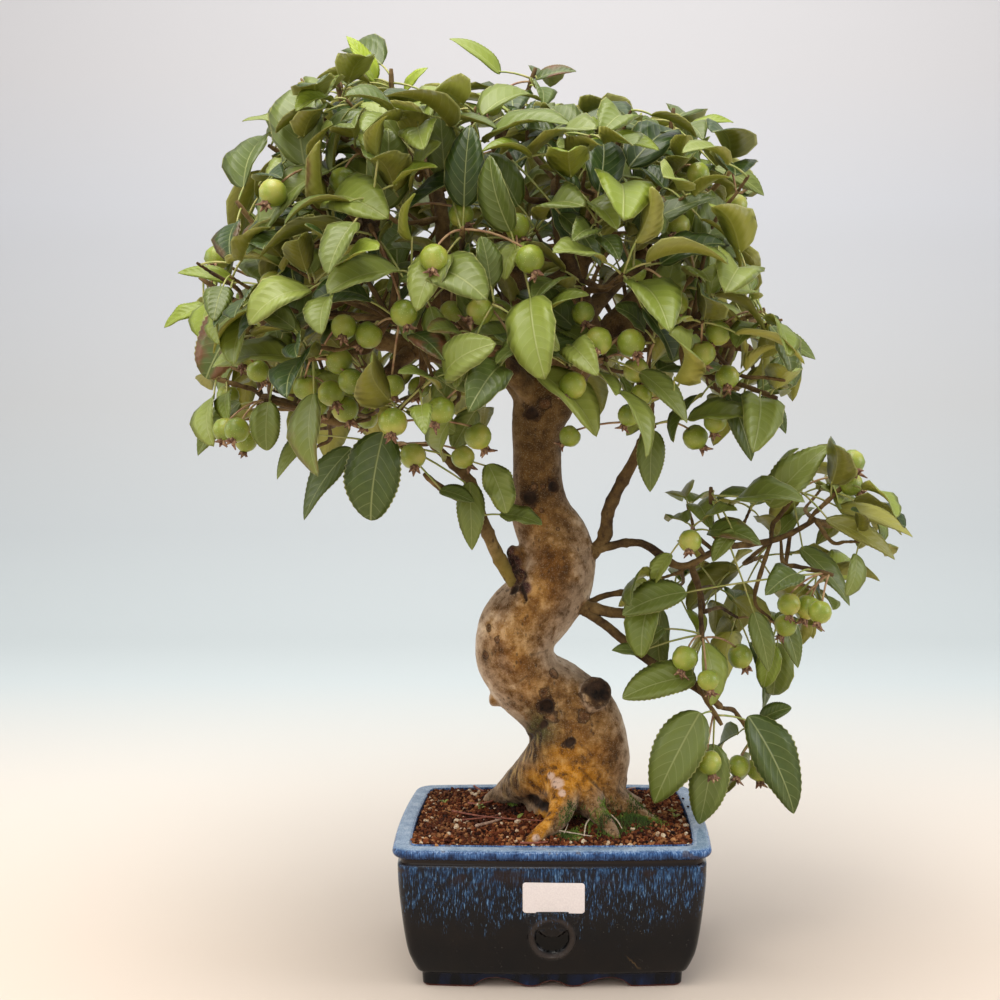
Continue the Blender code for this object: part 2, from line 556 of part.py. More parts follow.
def limb_paths():
    """Every limb as a sampled line with a radius at each point."""
    paths = {}
    for name, (thick, thin, places) in LIMBS.items():
        count = len(places)
        line = smooth_line([seen(*place) for place in places], count)
        paths[name] = (line, np.linspace(thick, thin, count))
    return paths


def nearest_wood(paths, point, core):
    """The limb point that a twig to this place would grow from: near it, and nearer the core."""
    best = None
    for line, radii in paths.values():
        fine = smooth_line(line, 4 * len(line))
        widths = np.interp(np.linspace(0, 1, len(fine)), np.linspace(0, 1, len(radii)), radii)
        gaps = np.linalg.norm(fine - point, axis=1)
        outer = np.linalg.norm(fine - core, axis=1) - np.linalg.norm(point - core)
        cost = gaps + np.maximum(outer, -0.01) * 0.8 + np.where(gaps < 0.012, 0.05, 0.0)
        k = int(np.argmin(cost))
        if best is None or cost[k] < best[0]:
            best = (cost[k], fine[k], widths[k])
    return best[1:]


def on_branch(number):
    """Whether a shoot, counted from 0, grows on the right-hand branch."""
    return BRANCH_SHOOTS[0] - 1 <= number < BRANCH_SHOOTS[1]


def shoot_core(number):
    return seen(*(BRANCH_CORE if on_branch(number) else CROWN_CORE))


def shoot_places(paths):
    """For each leafy shoot: where it begins, which way it goes, and the twig line that carries it."""
    shoots = []
    for number, (u, v, depth, leaves) in enumerate(SHOOTS):
        begin = seen(u, v, depth)
        core = shoot_core(number)
        root, width = nearest_wood(paths, begin, core)
        away = unit(begin - root)
        outward_way = unit(begin - core)
        heading = unit(0.55 * away + 0.75 * outward_way + np.array((0, 0, 0.25)))
        span = np.linalg.norm(begin - root)
        twig = np.array((root, begin - heading * 0.35 * span, begin))
        shoots.append({"begin": begin, "heading": heading, "twig": twig, "leaves": leaves,
                       "width": min(width * 0.8, 0.0030)})
    return shoots


def make_wood(paths, shoots, finish):
    wood = trunk_object(0.0, finish)
    parts = root_objects(0.0)
    for name, (line, radii) in paths.items():
        sides = 5 if radii[0] > 0.0065 else 4
        parts.append(limb_object(name, line, radii, sides))
    for number, (inner, outer, radius) in enumerate(STUBS):
        line = np.array((seen(*inner), seen(*outer)))
        parts.append(limb_object("stub_%d" % number, line, np.array((radius * 1.25, radius)), 6))
    for number, shoot in enumerate(shoots):
        radii = np.linspace(shoot["width"], SHOOT_RADIUS, len(shoot["twig"]))
        parts.append(limb_object("twig_%d" % number, shoot["twig"], radii, 3))
    combine(wood, parts, "UNION")
    return wood


def make_soil(finish):
    """The soil: it fills the pot a little below the rim, with plain holes for the trunk and roots."""
    rings = ((0.0330, FLOOR_TOP + GAP), (0.0200, 0.0410), (0.0150, 0.0710), (0.0133, SOIL_LEVEL))
    steps = 3
    points = []
    for inset, height in rings:
        points += rounded_ring(inset + GAP * 2.0, height)
    sides = len(points) // len(rings)
    top = np.array(points[-sides:])
    for step in range(1, steps):
        share = 1.0 - step / steps
        ring = top * (share, share, 1.0)
        ring[:, 2] += SOIL_MOUND * (1.0 - share ** 2)
        points += [tuple(p) for p in ring]
    soil = mesh_object("soil", np.array(points) + POT_AT, loft_faces(len(rings) + steps - 1, sides), finish)
    combine(soil, [trunk_object(SOIL_CLEAR)] + root_objects(SOIL_CLEAR), "DIFFERENCE")
    return soil


# Leaves and fruits
LEAF_SIDE = ((0.14, 0.66), (0.42, 1.00), (0.50, 0.84), (0.74, 0.64))   # place along, share of width
PLAIN_SIDE = ((0.20, 0.80), (0.50, 1.00), (0.58, 0.82))
LEAF_MIDDLE = 0.45                      # place along the blade where its two faces stand furthest apart
PETIOLE_HALF = 0.0007


def leaf_shape(stem, base, tip, up, width, rise, fold, sides=PLAIN_SIDE, grow=0.0):
    """Points and faces of one leaf: a three-sided petiole from stem to base, a blade from base to tip.

    Both faces of the blade share its toothed edge, which is folded up along the midrib, and each runs
    from there to its own middle point, one thickness apart and arched by rise. grow widens and thickens
    the leaf all round, for testing what it would touch.
    """
    length = np.linalg.norm(tip - base)
    ahead = (tip - base) / length
    up = unit(up - ahead * up.dot(ahead))
    side = np.cross(ahead, up)
    half = width / 2
    thick = up * (LEAF_THICK / 2 + grow)

    def mid(t):
        return base + ahead * (length * t) + up * (rise * length * 4 * t * (1 - t))

    def edge(sign):
        return [mid(t) + side * sign * (half * w + grow) + up * (fold * half * w) for t, w in sides]

    stalk = side * PETIOLE_HALF
    rim = edge(-1.0) + [tip + ahead * grow] + edge(1.0)[::-1]
    count = len(rim)
    points = rim + [mid(LEAF_MIDDLE) + thick, mid(LEAF_MIDDLE) - thick]
    points += [end + shift for end in (base, stem) for shift in (thick - stalk, thick + stalk, -thick)]
    above, below, left, right, under, stem_left, stem_right, stem_under = range(count, count + 8)
    faces = [(above, i, i + 1) for i in range(count - 1)] + [(below, i + 1, i) for i in range(count - 1)]
    faces += [(above, left, 0), (above, right, left), (above, count - 1, right)]
    faces += [(below, 0, under), (below, under, count - 1), (left, under, 0), (right, count - 1, under)]
    faces += [(stem_left, left, right, stem_right), (stem_left, stem_under, under, left),
              (stem_right, right, under, stem_under), (stem_left, stem_right, stem_under)]
    return np.array(points), faces


def fruit_shape(middle, down, radius):
    """Points and faces of one fruit with its stalk: a round body, a sunk top and the dry calyx."""
    turn = np.linspace(0.0, 2 * math.pi, 6, endpoint=False)
    side = unit(np.cross(down, (0.3, 0.9, 0.1)))
    other = np.cross(down, side)
    body = []
    for along, wide in ((-0.88, 0.45), (-0.10, 1.02), (0.82, 0.52), (1.25, 0.30)):
        for angle in turn:
            body.append(middle + radius * (down * along + wide * (side * math.cos(angle)
                                                                   + other * math.sin(angle))))
    return np.array(body), loft_faces(4, 6)


def tree_of(points, faces):
    return BVHTree.FromPolygons([Vector(p) for p in points], faces)


class Placed:
    """What already stands, for testing each new piece against: a BVH tree and a box each."""

    def __init__(self):
        self.items = []

    def add(self, owner, points, faces):
        points = np.array(points)
        self.items.append((owner, points.min(axis=0), points.max(axis=0), tree_of(points, faces)))

    def touches(self, points, faces, skip=None):
        low, high = points.min(axis=0), points.max(axis=0)
        own = None
        for owner, other_low, other_high, tree in self.items:
            if owner == skip:
                continue
            if (low > other_high).any() or (high < other_low).any():
                continue
            own = own or tree_of(points, faces)
            if own.overlap(tree):
                return True
        return False


def leaf_try(shoot_number, leaf_number, trial, shoot):
    """One seeded try at a leaf that grows from a shoot: stem, base, tip, up side and width."""
    draw = random.Random(1000 * shoot_number + 50 * leaf_number + trial)
    heading = shoot["heading"]
    along = 0.35 + 0.65 * (leaf_number + 0.5) / shoot["leaves"]
    stem = shoot["begin"] + heading * SHOOT_LENGTH * min(along, 0.96)
    side = unit(np.cross(heading, (0.1, 0.2, 1.0)))
    other = np.cross(heading, side)
    angle = 2.4 * leaf_number + 1.1 * shoot_number + draw.uniform(-0.7, 0.7)
    spread = draw.uniform(0.75, 1.35) if trial < 8 else draw.uniform(0.3, 2.0)
    outwards = side * math.cos(angle) + other * math.sin(angle)
    way = unit(heading * math.cos(spread) + outwards * math.sin(spread))
    petiole = draw.uniform(0.014, 0.026)
    length = draw.uniform(0.044, 0.066) * (1.0 if trial < 8 else 0.88 if trial < 20 else 0.72)
    base = stem + way * petiole
    tip_way = unit(way + np.array((0, 0, draw.uniform(-0.45, 0.12))))
    tip = base + tip_way * length
    up = unit(np.array((draw.uniform(-0.6, 0.6), draw.uniform(-0.8, 0.5), 1.0)) + 0.6 * heading)
    return stem, base, tip, up, length * draw.uniform(0.50, 0.60)


def stem_ends(shoots, share):
    """The point on each shoot's stem at this share of its length."""
    return [shoot["begin"] + shoot["heading"] * SHOOT_LENGTH * share for shoot in shoots]


def petiole_cost(stem, base, ahead):
    """How unfit a stem point is for a leaf: far away, or so far ahead that its petiole would fold back."""
    reach = base - stem
    span = np.linalg.norm(reach)
    return span * (1.6 - reach.dot(ahead) / span) + (1.0 if reach.dot(ahead) < 0.25 * span else 0.0)


def marked_try(number, trial, shoots):
    """One try at a leaf that the table gives: it moves in depth until it is clear."""
    u0, v0, u1, v1, depth, share = MARKED_LEAVES[number]
    shift = MARKED_SHIFTS[trial]
    base = seen(u0, v0, depth + shift)
    tip = seen(u1, v1, depth + shift * 1.2 - 0.006)
    tops = stem_ends(shoots, 0.62 + 0.053 * (number % 6))
    length = np.linalg.norm(tip - base)
    owner = int(np.argmin([petiole_cost(top, base, (tip - base) / length) for top in tops]))
    up = unit(np.array((0.1 * math.sin(7.0 * number), -0.75, 0.7)))
    return owner, tops[owner], base, tip, up, length * share


MARKED_CURVE = (0.05, 0.25, LEAF_SIDE)  # a leaf's rise and fold, and its edge
GROWN_CURVE = (0.10, 0.34, PLAIN_SIDE)
MARKED_SHIFTS = (0.0, -0.006, 0.006, -0.012, 0.012, -0.018, 0.018, -0.025)
PETIOLE_COST = 0.085
LEAF_TRIES = 40
LEAF_CLEAR = 0.0009                     # each blade keeps about twice this from its neighbours
PETIOLE_CLEAR = 0.0012                  # radius that is kept free round a petiole
STALK_CLEAR = 0.0014                    # and round a fruit's stalk
STEM_CLEAR = 0.0030                     # and round a shoot's stem
FRUIT_CLEAR = 0.0012
FRUIT_SHIFTS = (0.0, -0.006, 0.006, -0.012, 0.012, 0.018)


def place_foliage(shoots, wood):
    """Choose every leaf and fruit so that it stays clear of all other nodes; returns them by shoot."""
    placed = Placed()
    placed.add("wood", [v.co for v in wood.data.vertices], [tuple(p.vertices) for p in wood.data.polygons])
    half = POT_HALF - 0.004
    box = [(POT_AT[0] + x * half[0], y * half[1], z) for z in (0.09, POT_HEIGHT + 0.001)
           for x in (-1, 1) for y in (-1, 1)]
    walls = [(0, 1, 3, 2), (4, 5, 7, 6), (0, 1, 5, 4), (2, 3, 7, 6), (0, 2, 6, 4), (1, 3, 7, 5)]
    placed.add("pot", box, walls)
    pieces = [[] for _ in shoots]
    for number, shoot in enumerate(shoots):
        line = np.array([shoot["begin"] + shoot["heading"] * share for share in (0.001, SHOOT_LENGTH)])
        points, faces = tube_shape(line, np.full(2, STEM_CLEAR), 4)
        placed.add(number, points, faces)
    for number in range(len(MARKED_LEAVES)):
        for trial in range(len(MARKED_SHIFTS)):
            owner, stem, base, tip, up, width = marked_try(number, trial, shoots)
            if petiole_cost(stem, base, unit(tip - base)) > PETIOLE_COST:
                continue
            if try_leaf(placed, pieces, owner, stem, base, tip, up, width, *MARKED_CURVE):
                break
    for number, place in enumerate(FRUITS):
        for trial in range(len(FRUIT_SHIFTS)):
            if try_fruit(placed, pieces, shoots, number, trial):
                break
    for leaf_number in range(max(shoot["leaves"] for shoot in shoots)):
        for number, shoot in enumerate(shoots):
            blades = sum(1 for kind, *_ in pieces[number] if kind == "leaf")
            if blades >= shoot["leaves"]:
                continue
            for trial in range(LEAF_TRIES):
                stem, base, tip, up, width = leaf_try(number, leaf_number, trial, shoot)
                if not in_crown(tip, on_branch(number)):
                    continue
                if try_leaf(placed, pieces, number, stem, base, tip, up, width, *GROWN_CURVE):
                    break
    return pieces


def tube_shape(line, radii, sides):
    tangents, first, second = frames_along(line)
    turn = np.linspace(0.0, 2 * math.pi, sides, endpoint=False)
    rings = (line[:, None] + radii[:, None, None] * (np.cos(turn)[None, :, None] * first[:, None]
                                                     + np.sin(turn)[None, :, None] * second[:, None]))
    return rings.reshape(-1, 3), loft_faces(len(line), sides)


def try_leaf(placed, pieces, owner, stem, base, tip, up, width, rise, fold, sides):
    """Keep the leaf if its blade touches nothing and its petiole touches only its own shoot."""
    points, faces = leaf_shape(stem, base, tip, up, width, rise, fold, sides, LEAF_CLEAR)
    if placed.touches(points, faces, skip=owner):
        return False
    blade_owner = ("blade", owner)
    middle = base + (tip - base) * 0.05
    blade, blade_faces = leaf_shape(middle, middle, tip, up, width, rise, fold, sides, LEAF_CLEAR)
    if placed.touches(blade, blade_faces):
        return False
    placed.add(blade_owner, blade, blade_faces)
    stalk = np.array((stem + (base - stem) * 0.1, base))
    petiole, petiole_faces = tube_shape(stalk, np.full(2, PETIOLE_CLEAR), 3)
    placed.add(owner, petiole, petiole_faces)
    pieces[owner].append(("leaf", stem, base, tip, up, width, rise, fold, sides))
    return True


def try_fruit(placed, pieces, shoots, number, trial):
    """Hang a fruit from the nearest shoot tip above it, if it and its stalk are clear."""
    u, v, depth = FRUITS[number]
    middle = seen(u, v, depth + FRUIT_SHIFTS[trial])
    tops = stem_ends(shoots, 0.65 + 0.047 * (number % 7))
    order = np.argsort([np.linalg.norm(top - middle) for top in tops])
    draw = random.Random(500 + number)
    radius = FRUIT_RADIUS * draw.uniform(0.92, 1.06)
    for owner in (int(k) for k in order[:3]):
        stem = tops[owner]
        if np.linalg.norm(stem - middle) > FRUIT_REACH:
            continue
        away = unit(middle - stem)
        down = unit(away + np.array((0, -0.15, -0.35)))
        body, faces = fruit_shape(middle, down, radius + FRUIT_CLEAR)
        neck = middle - down * radius * 0.75
        stalk = smooth_line([stem, stem + (neck - stem) * 0.5 + np.array((0, 0, 0.004)), neck], 3)
        thin, thin_faces = tube_shape(stalk, np.full(3, STALK_CLEAR), 3)
        if placed.touches(body, faces) or placed.touches(thin, thin_faces, skip=owner):
            continue
        placed.add(("fruit", owner), body, faces)
        placed.add(owner, thin, thin_faces)
        pieces[owner].append(("fruit", middle, down, radius, stalk))
        return True
    return False


def make_shoot(number, shoot, things, finish):
    """One leafy shoot: its stem with the leaves and fruits that grow from it, all in one body."""
    begin, heading = shoot["begin"], shoot["heading"]
    line = np.array([begin + heading * share for share in (GAP, SHOOT_LENGTH)])
    name = "leafy_shoot_%02d" % (number + 1)
    radii = np.array((SHOOT_RADIUS, SHOOT_RADIUS * 0.85))
    stem = limb_object(name, line, radii, 3, finish)
    parts = []
    for thing in things:
        if thing[0] == "leaf":
            points, faces = leaf_shape(*thing[1:])
            parts.append(mesh_object("leaf", points, faces))
        else:
            _, middle, down, radius, stalk = thing
            points, faces = fruit_shape(middle, down, radius)
            parts.append(mesh_object("fruit", points, faces))
            parts.append(limb_object("stalk", stalk, np.full(3, PETIOLE_HALF), 3))
    for part in parts:
        outward(part)
    if parts:
        combine(stem, parts, "UNION")
    return stem


def make_everything():
    clear_scene()
    glaze = material("pot_glaze", (0.03, 0.06, 0.14), 0.15)
    clay = material("akadama_soil", (0.12, 0.035, 0.018), 0.95)
    paper = material("label_paper", (0.88, 0.84, 0.84), 0.7)
    bark = material("bark", (0.32, 0.22, 0.13), 0.8)
    leaf = material("leaf_green", (0.09, 0.19, 0.05), 0.5)
    make_pot(glaze)
    make_label(paper)
    make_soil(clay)
    paths = limb_paths()
    shoots = shoot_places(paths)
    wood = make_wood(paths, shoots, bark)
    pieces = place_foliage(shoots, wood)
    for number, shoot in enumerate(shoots):
        make_shoot(number, shoot, pieces[number], leaf)


make_everything()
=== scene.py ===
import itertools
import json
import math
import random

import bpy
import numpy as np
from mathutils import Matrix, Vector
from mathutils.bvhtree import BVHTree
from mathutils.kdtree import KDTree

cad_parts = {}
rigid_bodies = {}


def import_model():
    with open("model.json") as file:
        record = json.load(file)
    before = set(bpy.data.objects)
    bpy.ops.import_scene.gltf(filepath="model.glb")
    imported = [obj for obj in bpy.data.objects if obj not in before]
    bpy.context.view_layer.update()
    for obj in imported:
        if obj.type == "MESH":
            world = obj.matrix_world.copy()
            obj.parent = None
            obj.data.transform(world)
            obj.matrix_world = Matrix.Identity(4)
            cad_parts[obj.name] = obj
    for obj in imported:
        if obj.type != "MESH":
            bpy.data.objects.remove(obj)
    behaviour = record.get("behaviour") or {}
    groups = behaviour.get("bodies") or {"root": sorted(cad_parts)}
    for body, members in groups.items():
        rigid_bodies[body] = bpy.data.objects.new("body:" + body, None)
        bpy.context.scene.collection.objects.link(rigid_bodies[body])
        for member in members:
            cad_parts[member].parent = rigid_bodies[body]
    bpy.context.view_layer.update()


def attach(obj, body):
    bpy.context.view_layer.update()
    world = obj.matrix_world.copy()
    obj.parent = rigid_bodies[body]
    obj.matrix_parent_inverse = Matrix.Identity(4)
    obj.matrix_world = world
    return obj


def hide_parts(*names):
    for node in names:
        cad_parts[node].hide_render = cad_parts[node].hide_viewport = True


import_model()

# The view. The tree is seen from the height of its crown's lower half, about a metre in front of the
# pot, tilted a little down. Much of what grows on it is placed by pixel and depth in this view.
POT_AT = np.array((0.0095, 0.0, 0.0))   # the pot's centre on the ground
VIEW_FOCAL = 1293.3                     # in pixels of an image 1000 pixels wide
VIEW_CENTRE = (559.2, 500.0)            # the pixel that the camera's axis meets
VIEW_EYE = np.array((0.0050, -0.9668, 0.3875))
VIEW_PITCH = math.radians(2.694)
IMAGE_WIDTH = 1000
SENSOR_WIDTH = 36.0


def seen(u, v, depth):
    """Points that the view shows at pixels u, v: the ray through each pixel, followed from the eye until
    it lies the asked depth behind the pot's centre plane. Takes numbers or arrays."""
    u, v, depth = np.broadcast_arrays(*(np.asarray(value, float) for value in (u, v, depth)))
    rise = (VIEW_CENTRE[1] - v) / VIEW_FOCAL
    ray = np.stack(((u - VIEW_CENTRE[0]) / VIEW_FOCAL,
                    math.cos(VIEW_PITCH) + rise * math.sin(VIEW_PITCH),
                    rise * math.cos(VIEW_PITCH) - math.sin(VIEW_PITCH)), -1)
    return VIEW_EYE + ray * ((depth - VIEW_EYE[1]) / ray[..., 1])[..., None] + POT_AT


def shown(points):
    """The pixels u, v where the view shows points, and how deep each lies behind the pot's centre plane:
    the focal length times the sideways or upward reach, over the reach along the camera's axis."""
    reach = np.asarray(points, float) - POT_AT - VIEW_EYE
    away = reach[..., 1] * math.cos(VIEW_PITCH) - reach[..., 2] * math.sin(VIEW_PITCH)
    rise = reach[..., 1] * math.sin(VIEW_PITCH) + reach[..., 2] * math.cos(VIEW_PITCH)
    return (VIEW_CENTRE[0] + VIEW_FOCAL * reach[..., 0] / away, VIEW_CENTRE[1] - VIEW_FOCAL * rise / away,
            reach[..., 1] + VIEW_EYE[1])


lens = bpy.data.cameras.new("camera")
lens.sensor_width = SENSOR_WIDTH
lens.lens = VIEW_FOCAL / IMAGE_WIDTH * SENSOR_WIDTH
lens.shift_x = 0.5 - VIEW_CENTRE[0] / IMAGE_WIDTH
lens.clip_start = 0.01
camera = bpy.data.objects.new("camera", lens)
bpy.context.scene.collection.objects.link(camera)
camera.location = VIEW_EYE + POT_AT
camera.rotation_euler = (math.pi / 2 - VIEW_PITCH, 0.0, 0.0)
bpy.context.scene.camera = camera
bpy.context.scene.view_settings.view_transform = "Standard"

# The stage. A plain paper sweep, pale cream where it is the floor and a cool pale grey where it rises
# behind, under one wide soft light from above the front and weaker ones from both sides.
FLOOR_FRONT = -2.6
FLOOR_BACK = 1.5
SWEEP_RADIUS = 0.9
WALL_HEIGHT = 3.4
STAGE_HALF = 4.0
STAGE_COLOURS = (
    (0.0, "#d3c5b7"), (0.03, "#d2cbc2"), (0.076, "#c6cecf"), (0.25, "#bfc4c6"), (0.46, "#c4c5c6"),
    (0.79, "#cecfd4"), (1.0, "#d1cfd1"))
SWEEP_COLOUR_HEIGHT = 1.6               # height of the last colour, in metres up the wall
SWEEP_COLOUR_BEHIND = 0.07              # and how far each metre behind the pot goes towards it
LIGHTS = (
    # name, place, what it points at, size, watts, colour
    ("top_light", (-0.25, -0.45, 1.75), (0.0, 0.0, 0.30), 1.2, 26.0, "#fffaf2"),
    ("front_light", (-0.9, -1.9, 1.05), (0.0, 0.0, 0.30), 1.3, 6.0, "#fff6ea"),
    ("right_light", (1.6, -0.4, 0.8), (0.0, 0.0, 0.30), 0.9, 10.0, "#f7f8ff"),
    ("left_light", (-1.6, -0.2, 0.9), (0.0, 0.0, 0.35), 0.9, 5.0, "#ffffff"),
    ("wall_light", (0.0, 0.9, 2.9), (0.0, 2.4, 0.9), 2.2, 30.0, "#ffffff"))
SURROUND = "#f0f0f0"
SURROUND_STRENGTH = 0.80


def colour(code):
    """The linear colour with full cover of a web colour code: each channel over 255 to the power 2.4
    after a small offset, or over 12.92 where it is nearly black."""
    channels = np.array([int(code[k:k + 2], 16) for k in (1, 3, 5)]) / 255
    linear = np.where(channels > 0.04045, ((channels + 0.055) / 1.055) ** 2.4, channels / 12.92)
    return (*linear, 1.0)


class Value:
    """What a node of a finish gives out. Between it and a number or another value, + - * / and abs() make
    a maths node of that kind."""

    def __init__(self, socket):
        self.socket = socket

    def __add__(self, other):
        return maths("ADD", self, other)

    def __radd__(self, other):
        return maths("ADD", other, self)

    def __sub__(self, other):
        return maths("SUBTRACT", self, other)

    def __rsub__(self, other):
        return maths("SUBTRACT", other, self)

    def __mul__(self, other):
        return maths("MULTIPLY", self, other)

    def __rmul__(self, other):
        return maths("MULTIPLY", other, self)

    def __truediv__(self, other):
        return maths("DIVIDE", self, other)

    def __abs__(self):
        return maths("ABSOLUTE", self)


def feed(node, **inputs):
    """Give a node its inputs: a value is linked, and a number, a colour or a colour code is set. Keys name
    the inputs, with _ for a space, or their numbers as n0, n1."""
    for key, value in inputs.items():
        socket = node.inputs[int(key[1:]) if key[1:].isdigit() else key.replace("_", " ")]
        if isinstance(value, Value):
            node.id_data.links.new(value.socket, socket)
        else:
            socket.default_value = colour(value) if isinstance(value, str) else value


def new_finish(name, **inputs):
    """A material, its node tree and its surface shader, with the given inputs set on the shader."""
    made = bpy.data.materials.new(name)
    made.use_nodes = True
    shader = made.node_tree.nodes["Principled BSDF"]
    feed(shader, **inputs)
    return made, made.node_tree, shader


def add(tree, kind, result=0, settings=None, **inputs):
    """The asked output of one new node of a finish."""
    node = tree.nodes.new("ShaderNode" + kind)
    for key, value in (settings or {}).items():
        setattr(node, key, value)
    feed(node, **inputs)
    return Value(node.outputs[result])


def tree_of(*values):
    """The node tree that the values among these belong to."""
    return next(value.socket.id_data for value in values if isinstance(value, Value))


def maths(operation, first, second=0.0):
    """first operation second, as a node."""
    return add(tree_of(first, second), "Math", settings={"operation": operation}, n0=first, n1=second)


def blend(share, under, over):
    """The colour under, turned into the colour over by a share from 0 to 1."""
    return add(tree_of(share, under, over), "Mix", result=2, settings={"data_type": "RGBA"},
               n0=share, n6=under, n7=over)


def ramp(value, *stops):
    """A colour for a value: it runs evenly from each stop's colour code to the next one's."""
    made = add(tree_of(value), "ValToRGB", Fac=value)
    elements = made.socket.node.color_ramp.elements
    elements[0].position, elements[0].color = stops[0][0], colour(stops[0][1])
    elements[1].position, elements[1].color = stops[-1][0], colour(stops[-1][1])
    for place, code in stops[1:-1]:
        elements.new(place).color = colour(code)
    return made


def rise_between(value, low, high):
    """0 below low, 1 above high, and a straight rise from one to the other."""
    return add(tree_of(value), "MapRange", settings={"clamp": True}, Value=value, From_Min=low,
               From_Max=high)


def noise(place, scale, detail=2.0, rough=0.5):
    """Cloudy noise from 0 to 1 at a place, with so many clouds to a metre and so many finer layers."""
    return add(tree_of(place), "TexNoise", Vector=place, Scale=scale, Detail=detail, Roughness=rough)


def stored(tree, name):
    """The number of this name that set_values has stored on the piece."""
    return add(tree, "Attribute", result=2, settings={"attribute_name": name})


def squeezed(place, scale, **inputs):
    """A place whose three numbers are multiplied by a scale, to draw a pattern out."""
    return add(tree_of(place), "Mapping", Vector=place, Scale=scale, **inputs)


def part_of(place, axis):
    """One of a place's three numbers: 0 sideways, 1 back, 2 up."""
    return add(tree_of(place), "SeparateXYZ", result=axis, Vector=place)


def piece_of(name, points, faces, finish, smooth=True):
    """A mesh object with its place in its points. faces are lists, or arrays of equal faces."""
    mesh = bpy.data.meshes.new(name)
    if isinstance(faces, np.ndarray):
        mesh.vertices.add(len(points))
        mesh.vertices.foreach_set("co", np.asarray(points, np.float32).ravel())
        mesh.loops.add(faces.size)
        mesh.loops.foreach_set("vertex_index", faces.astype(np.int32).ravel())
        mesh.polygons.add(len(faces))
        mesh.polygons.foreach_set("loop_start", np.arange(0, faces.size, faces.shape[1], dtype=np.int32))
    else:
        mesh.from_pydata(np.asarray(points, float).tolist(), [], faces)
    mesh.update()
    mesh.validate()
    mesh.polygons.foreach_set("use_smooth", np.full(len(mesh.polygons), smooth))
    mesh.materials.append(finish)
    made = bpy.data.objects.new(name, mesh)
    bpy.context.scene.collection.objects.link(made)
    return made


def sweep_surface():
    """The paper sweep: a floor line, a quarter circle up and a wall line, drawn out sideways."""
    turn = np.linspace(0.0, math.pi / 2, 40)
    arc = np.stack((FLOOR_BACK + SWEEP_RADIUS * np.sin(turn), SWEEP_RADIUS * (1 - np.cos(turn))), -1)
    line = np.vstack(((FLOOR_FRONT, 0.0), arc, (FLOOR_BACK + SWEEP_RADIUS, WALL_HEIGHT)))
    points = np.array([(x, y, z) for y, z in line for x in (-STAGE_HALF, STAGE_HALF)])
    row = np.arange(len(line) - 1) * 2
    return points, np.stack((row, row + 1, row + 3, row + 2), -1)


backdrop_finish, tree, shader = new_finish("sweep_paper", Roughness=0.9)
place = add(tree, "TexCoord", result=3)
height = part_of(place, 2)
behind = part_of(place, 1)
reach = height / SWEEP_COLOUR_HEIGHT + maths("MAXIMUM", behind, 0.0) * SWEEP_COLOUR_BEHIND
feed(shader, Base_Color=ramp(reach, *STAGE_COLOURS))
backdrop = piece_of("backdrop", *sweep_surface(), backdrop_finish)

world = bpy.data.worlds.new("surround")
bpy.context.scene.world = world
world.use_nodes = True
feed(world.node_tree.nodes["Background"], Color=SURROUND, Strength=SURROUND_STRENGTH)
for name, place, target, size, watts, tint in LIGHTS:
    light = bpy.data.lights.new(name, "AREA")
    light.size = size
    light.energy = watts
    light.color = colour(tint)[:3]
    lamp = bpy.data.objects.new(name, light)
    lamp.location = place
    lamp.rotation_euler = (Vector(target) - Vector(place)).to_track_quat("-Z", "Y").to_euler()
    bpy.context.scene.collection.objects.link(lamp)

# The pot. Glazed stoneware, thrown as one piece: a rounded rectangle whose sides bow out a little, a
# fat half-round rim over a groove, a bellied wall, and a foot ring cut into corner feet and a scalloped
# apron. A ring hangs from a mask in low relief on both long faces. Two drain holes go through the floor.
POT_HALF = np.array((0.1146, 0.0893))   # half the rim's length and depth
POT_BOW = np.array((0.0026, 0.0032))    # how far the ends and the long sides bow out past the corners
RIM_CORNER = 0.014
CORNER_LEAST = 0.006
CORNER_STEPS = 9
LONG_STEPS = 140
END_STEPS = 46
FOOT_RING = (
    (0.0325, 0.0100), (0.0325, 0.0012), (0.0317, 0.0), (0.0206, 0.0), (0.0198, 0.0012), (0.0197, 0.0022),
    (0.0193, 0.0084), (0.0192, 0.0096))
BODY = (
    (0.0186, 0.0103), (0.0158, 0.0130), (0.0108, 0.0260), (0.0083, 0.0380), (0.0060, 0.0550),
    (0.0040, 0.0750), (0.0034, 0.0900))
GROOVE = ((0.0040, 0.0912), (0.0054, 0.0922), (0.0056, 0.0940), (0.0054, 0.0955), (0.0030, 0.0963))
RIM_MIDDLE = (0.0038, 0.1000)           # middle of the rim's half-round outer edge
RIM_ROUND = 0.0038
INSIDE = (
    (0.0060, 0.1038), (0.0104, 0.1036), (0.0122, 0.1028), (0.0132, 0.1012), (0.0150, 0.0700),
    (0.0200, 0.0400), (0.0320, 0.0220))
POT_UNDERSIDE = 0.0100
FRONT_ARCH = (
    (0.0000, 0.0048), (0.0055, 0.0034), (0.0095, 0.0012), (0.0145, 0.0003), (0.0195, 0.0008),
    (0.0250, 0.0028), (0.0320, 0.0056), (0.0395, 0.0068), (0.0460, 0.0062), (0.0510, 0.0040),
    (0.0550, 0.0006), (0.0560, 0.0))
SIDE_ARCH = (
    (0.0000, 0.0026), (0.0060, 0.0018), (0.0120, 0.0030), (0.0180, 0.0060), (0.0270, 0.0068),
    (0.0340, 0.0045), (0.0370, 0.0010), (0.0400, 0.0))
RING_HEIGHT = 0.0410                    # middle of the ring ornament
RING_RADIUS = 0.0142
RING_BAND = 0.0028                      # half the width of the ring's band
RING_STAND = 0.0028                     # how far it stands out
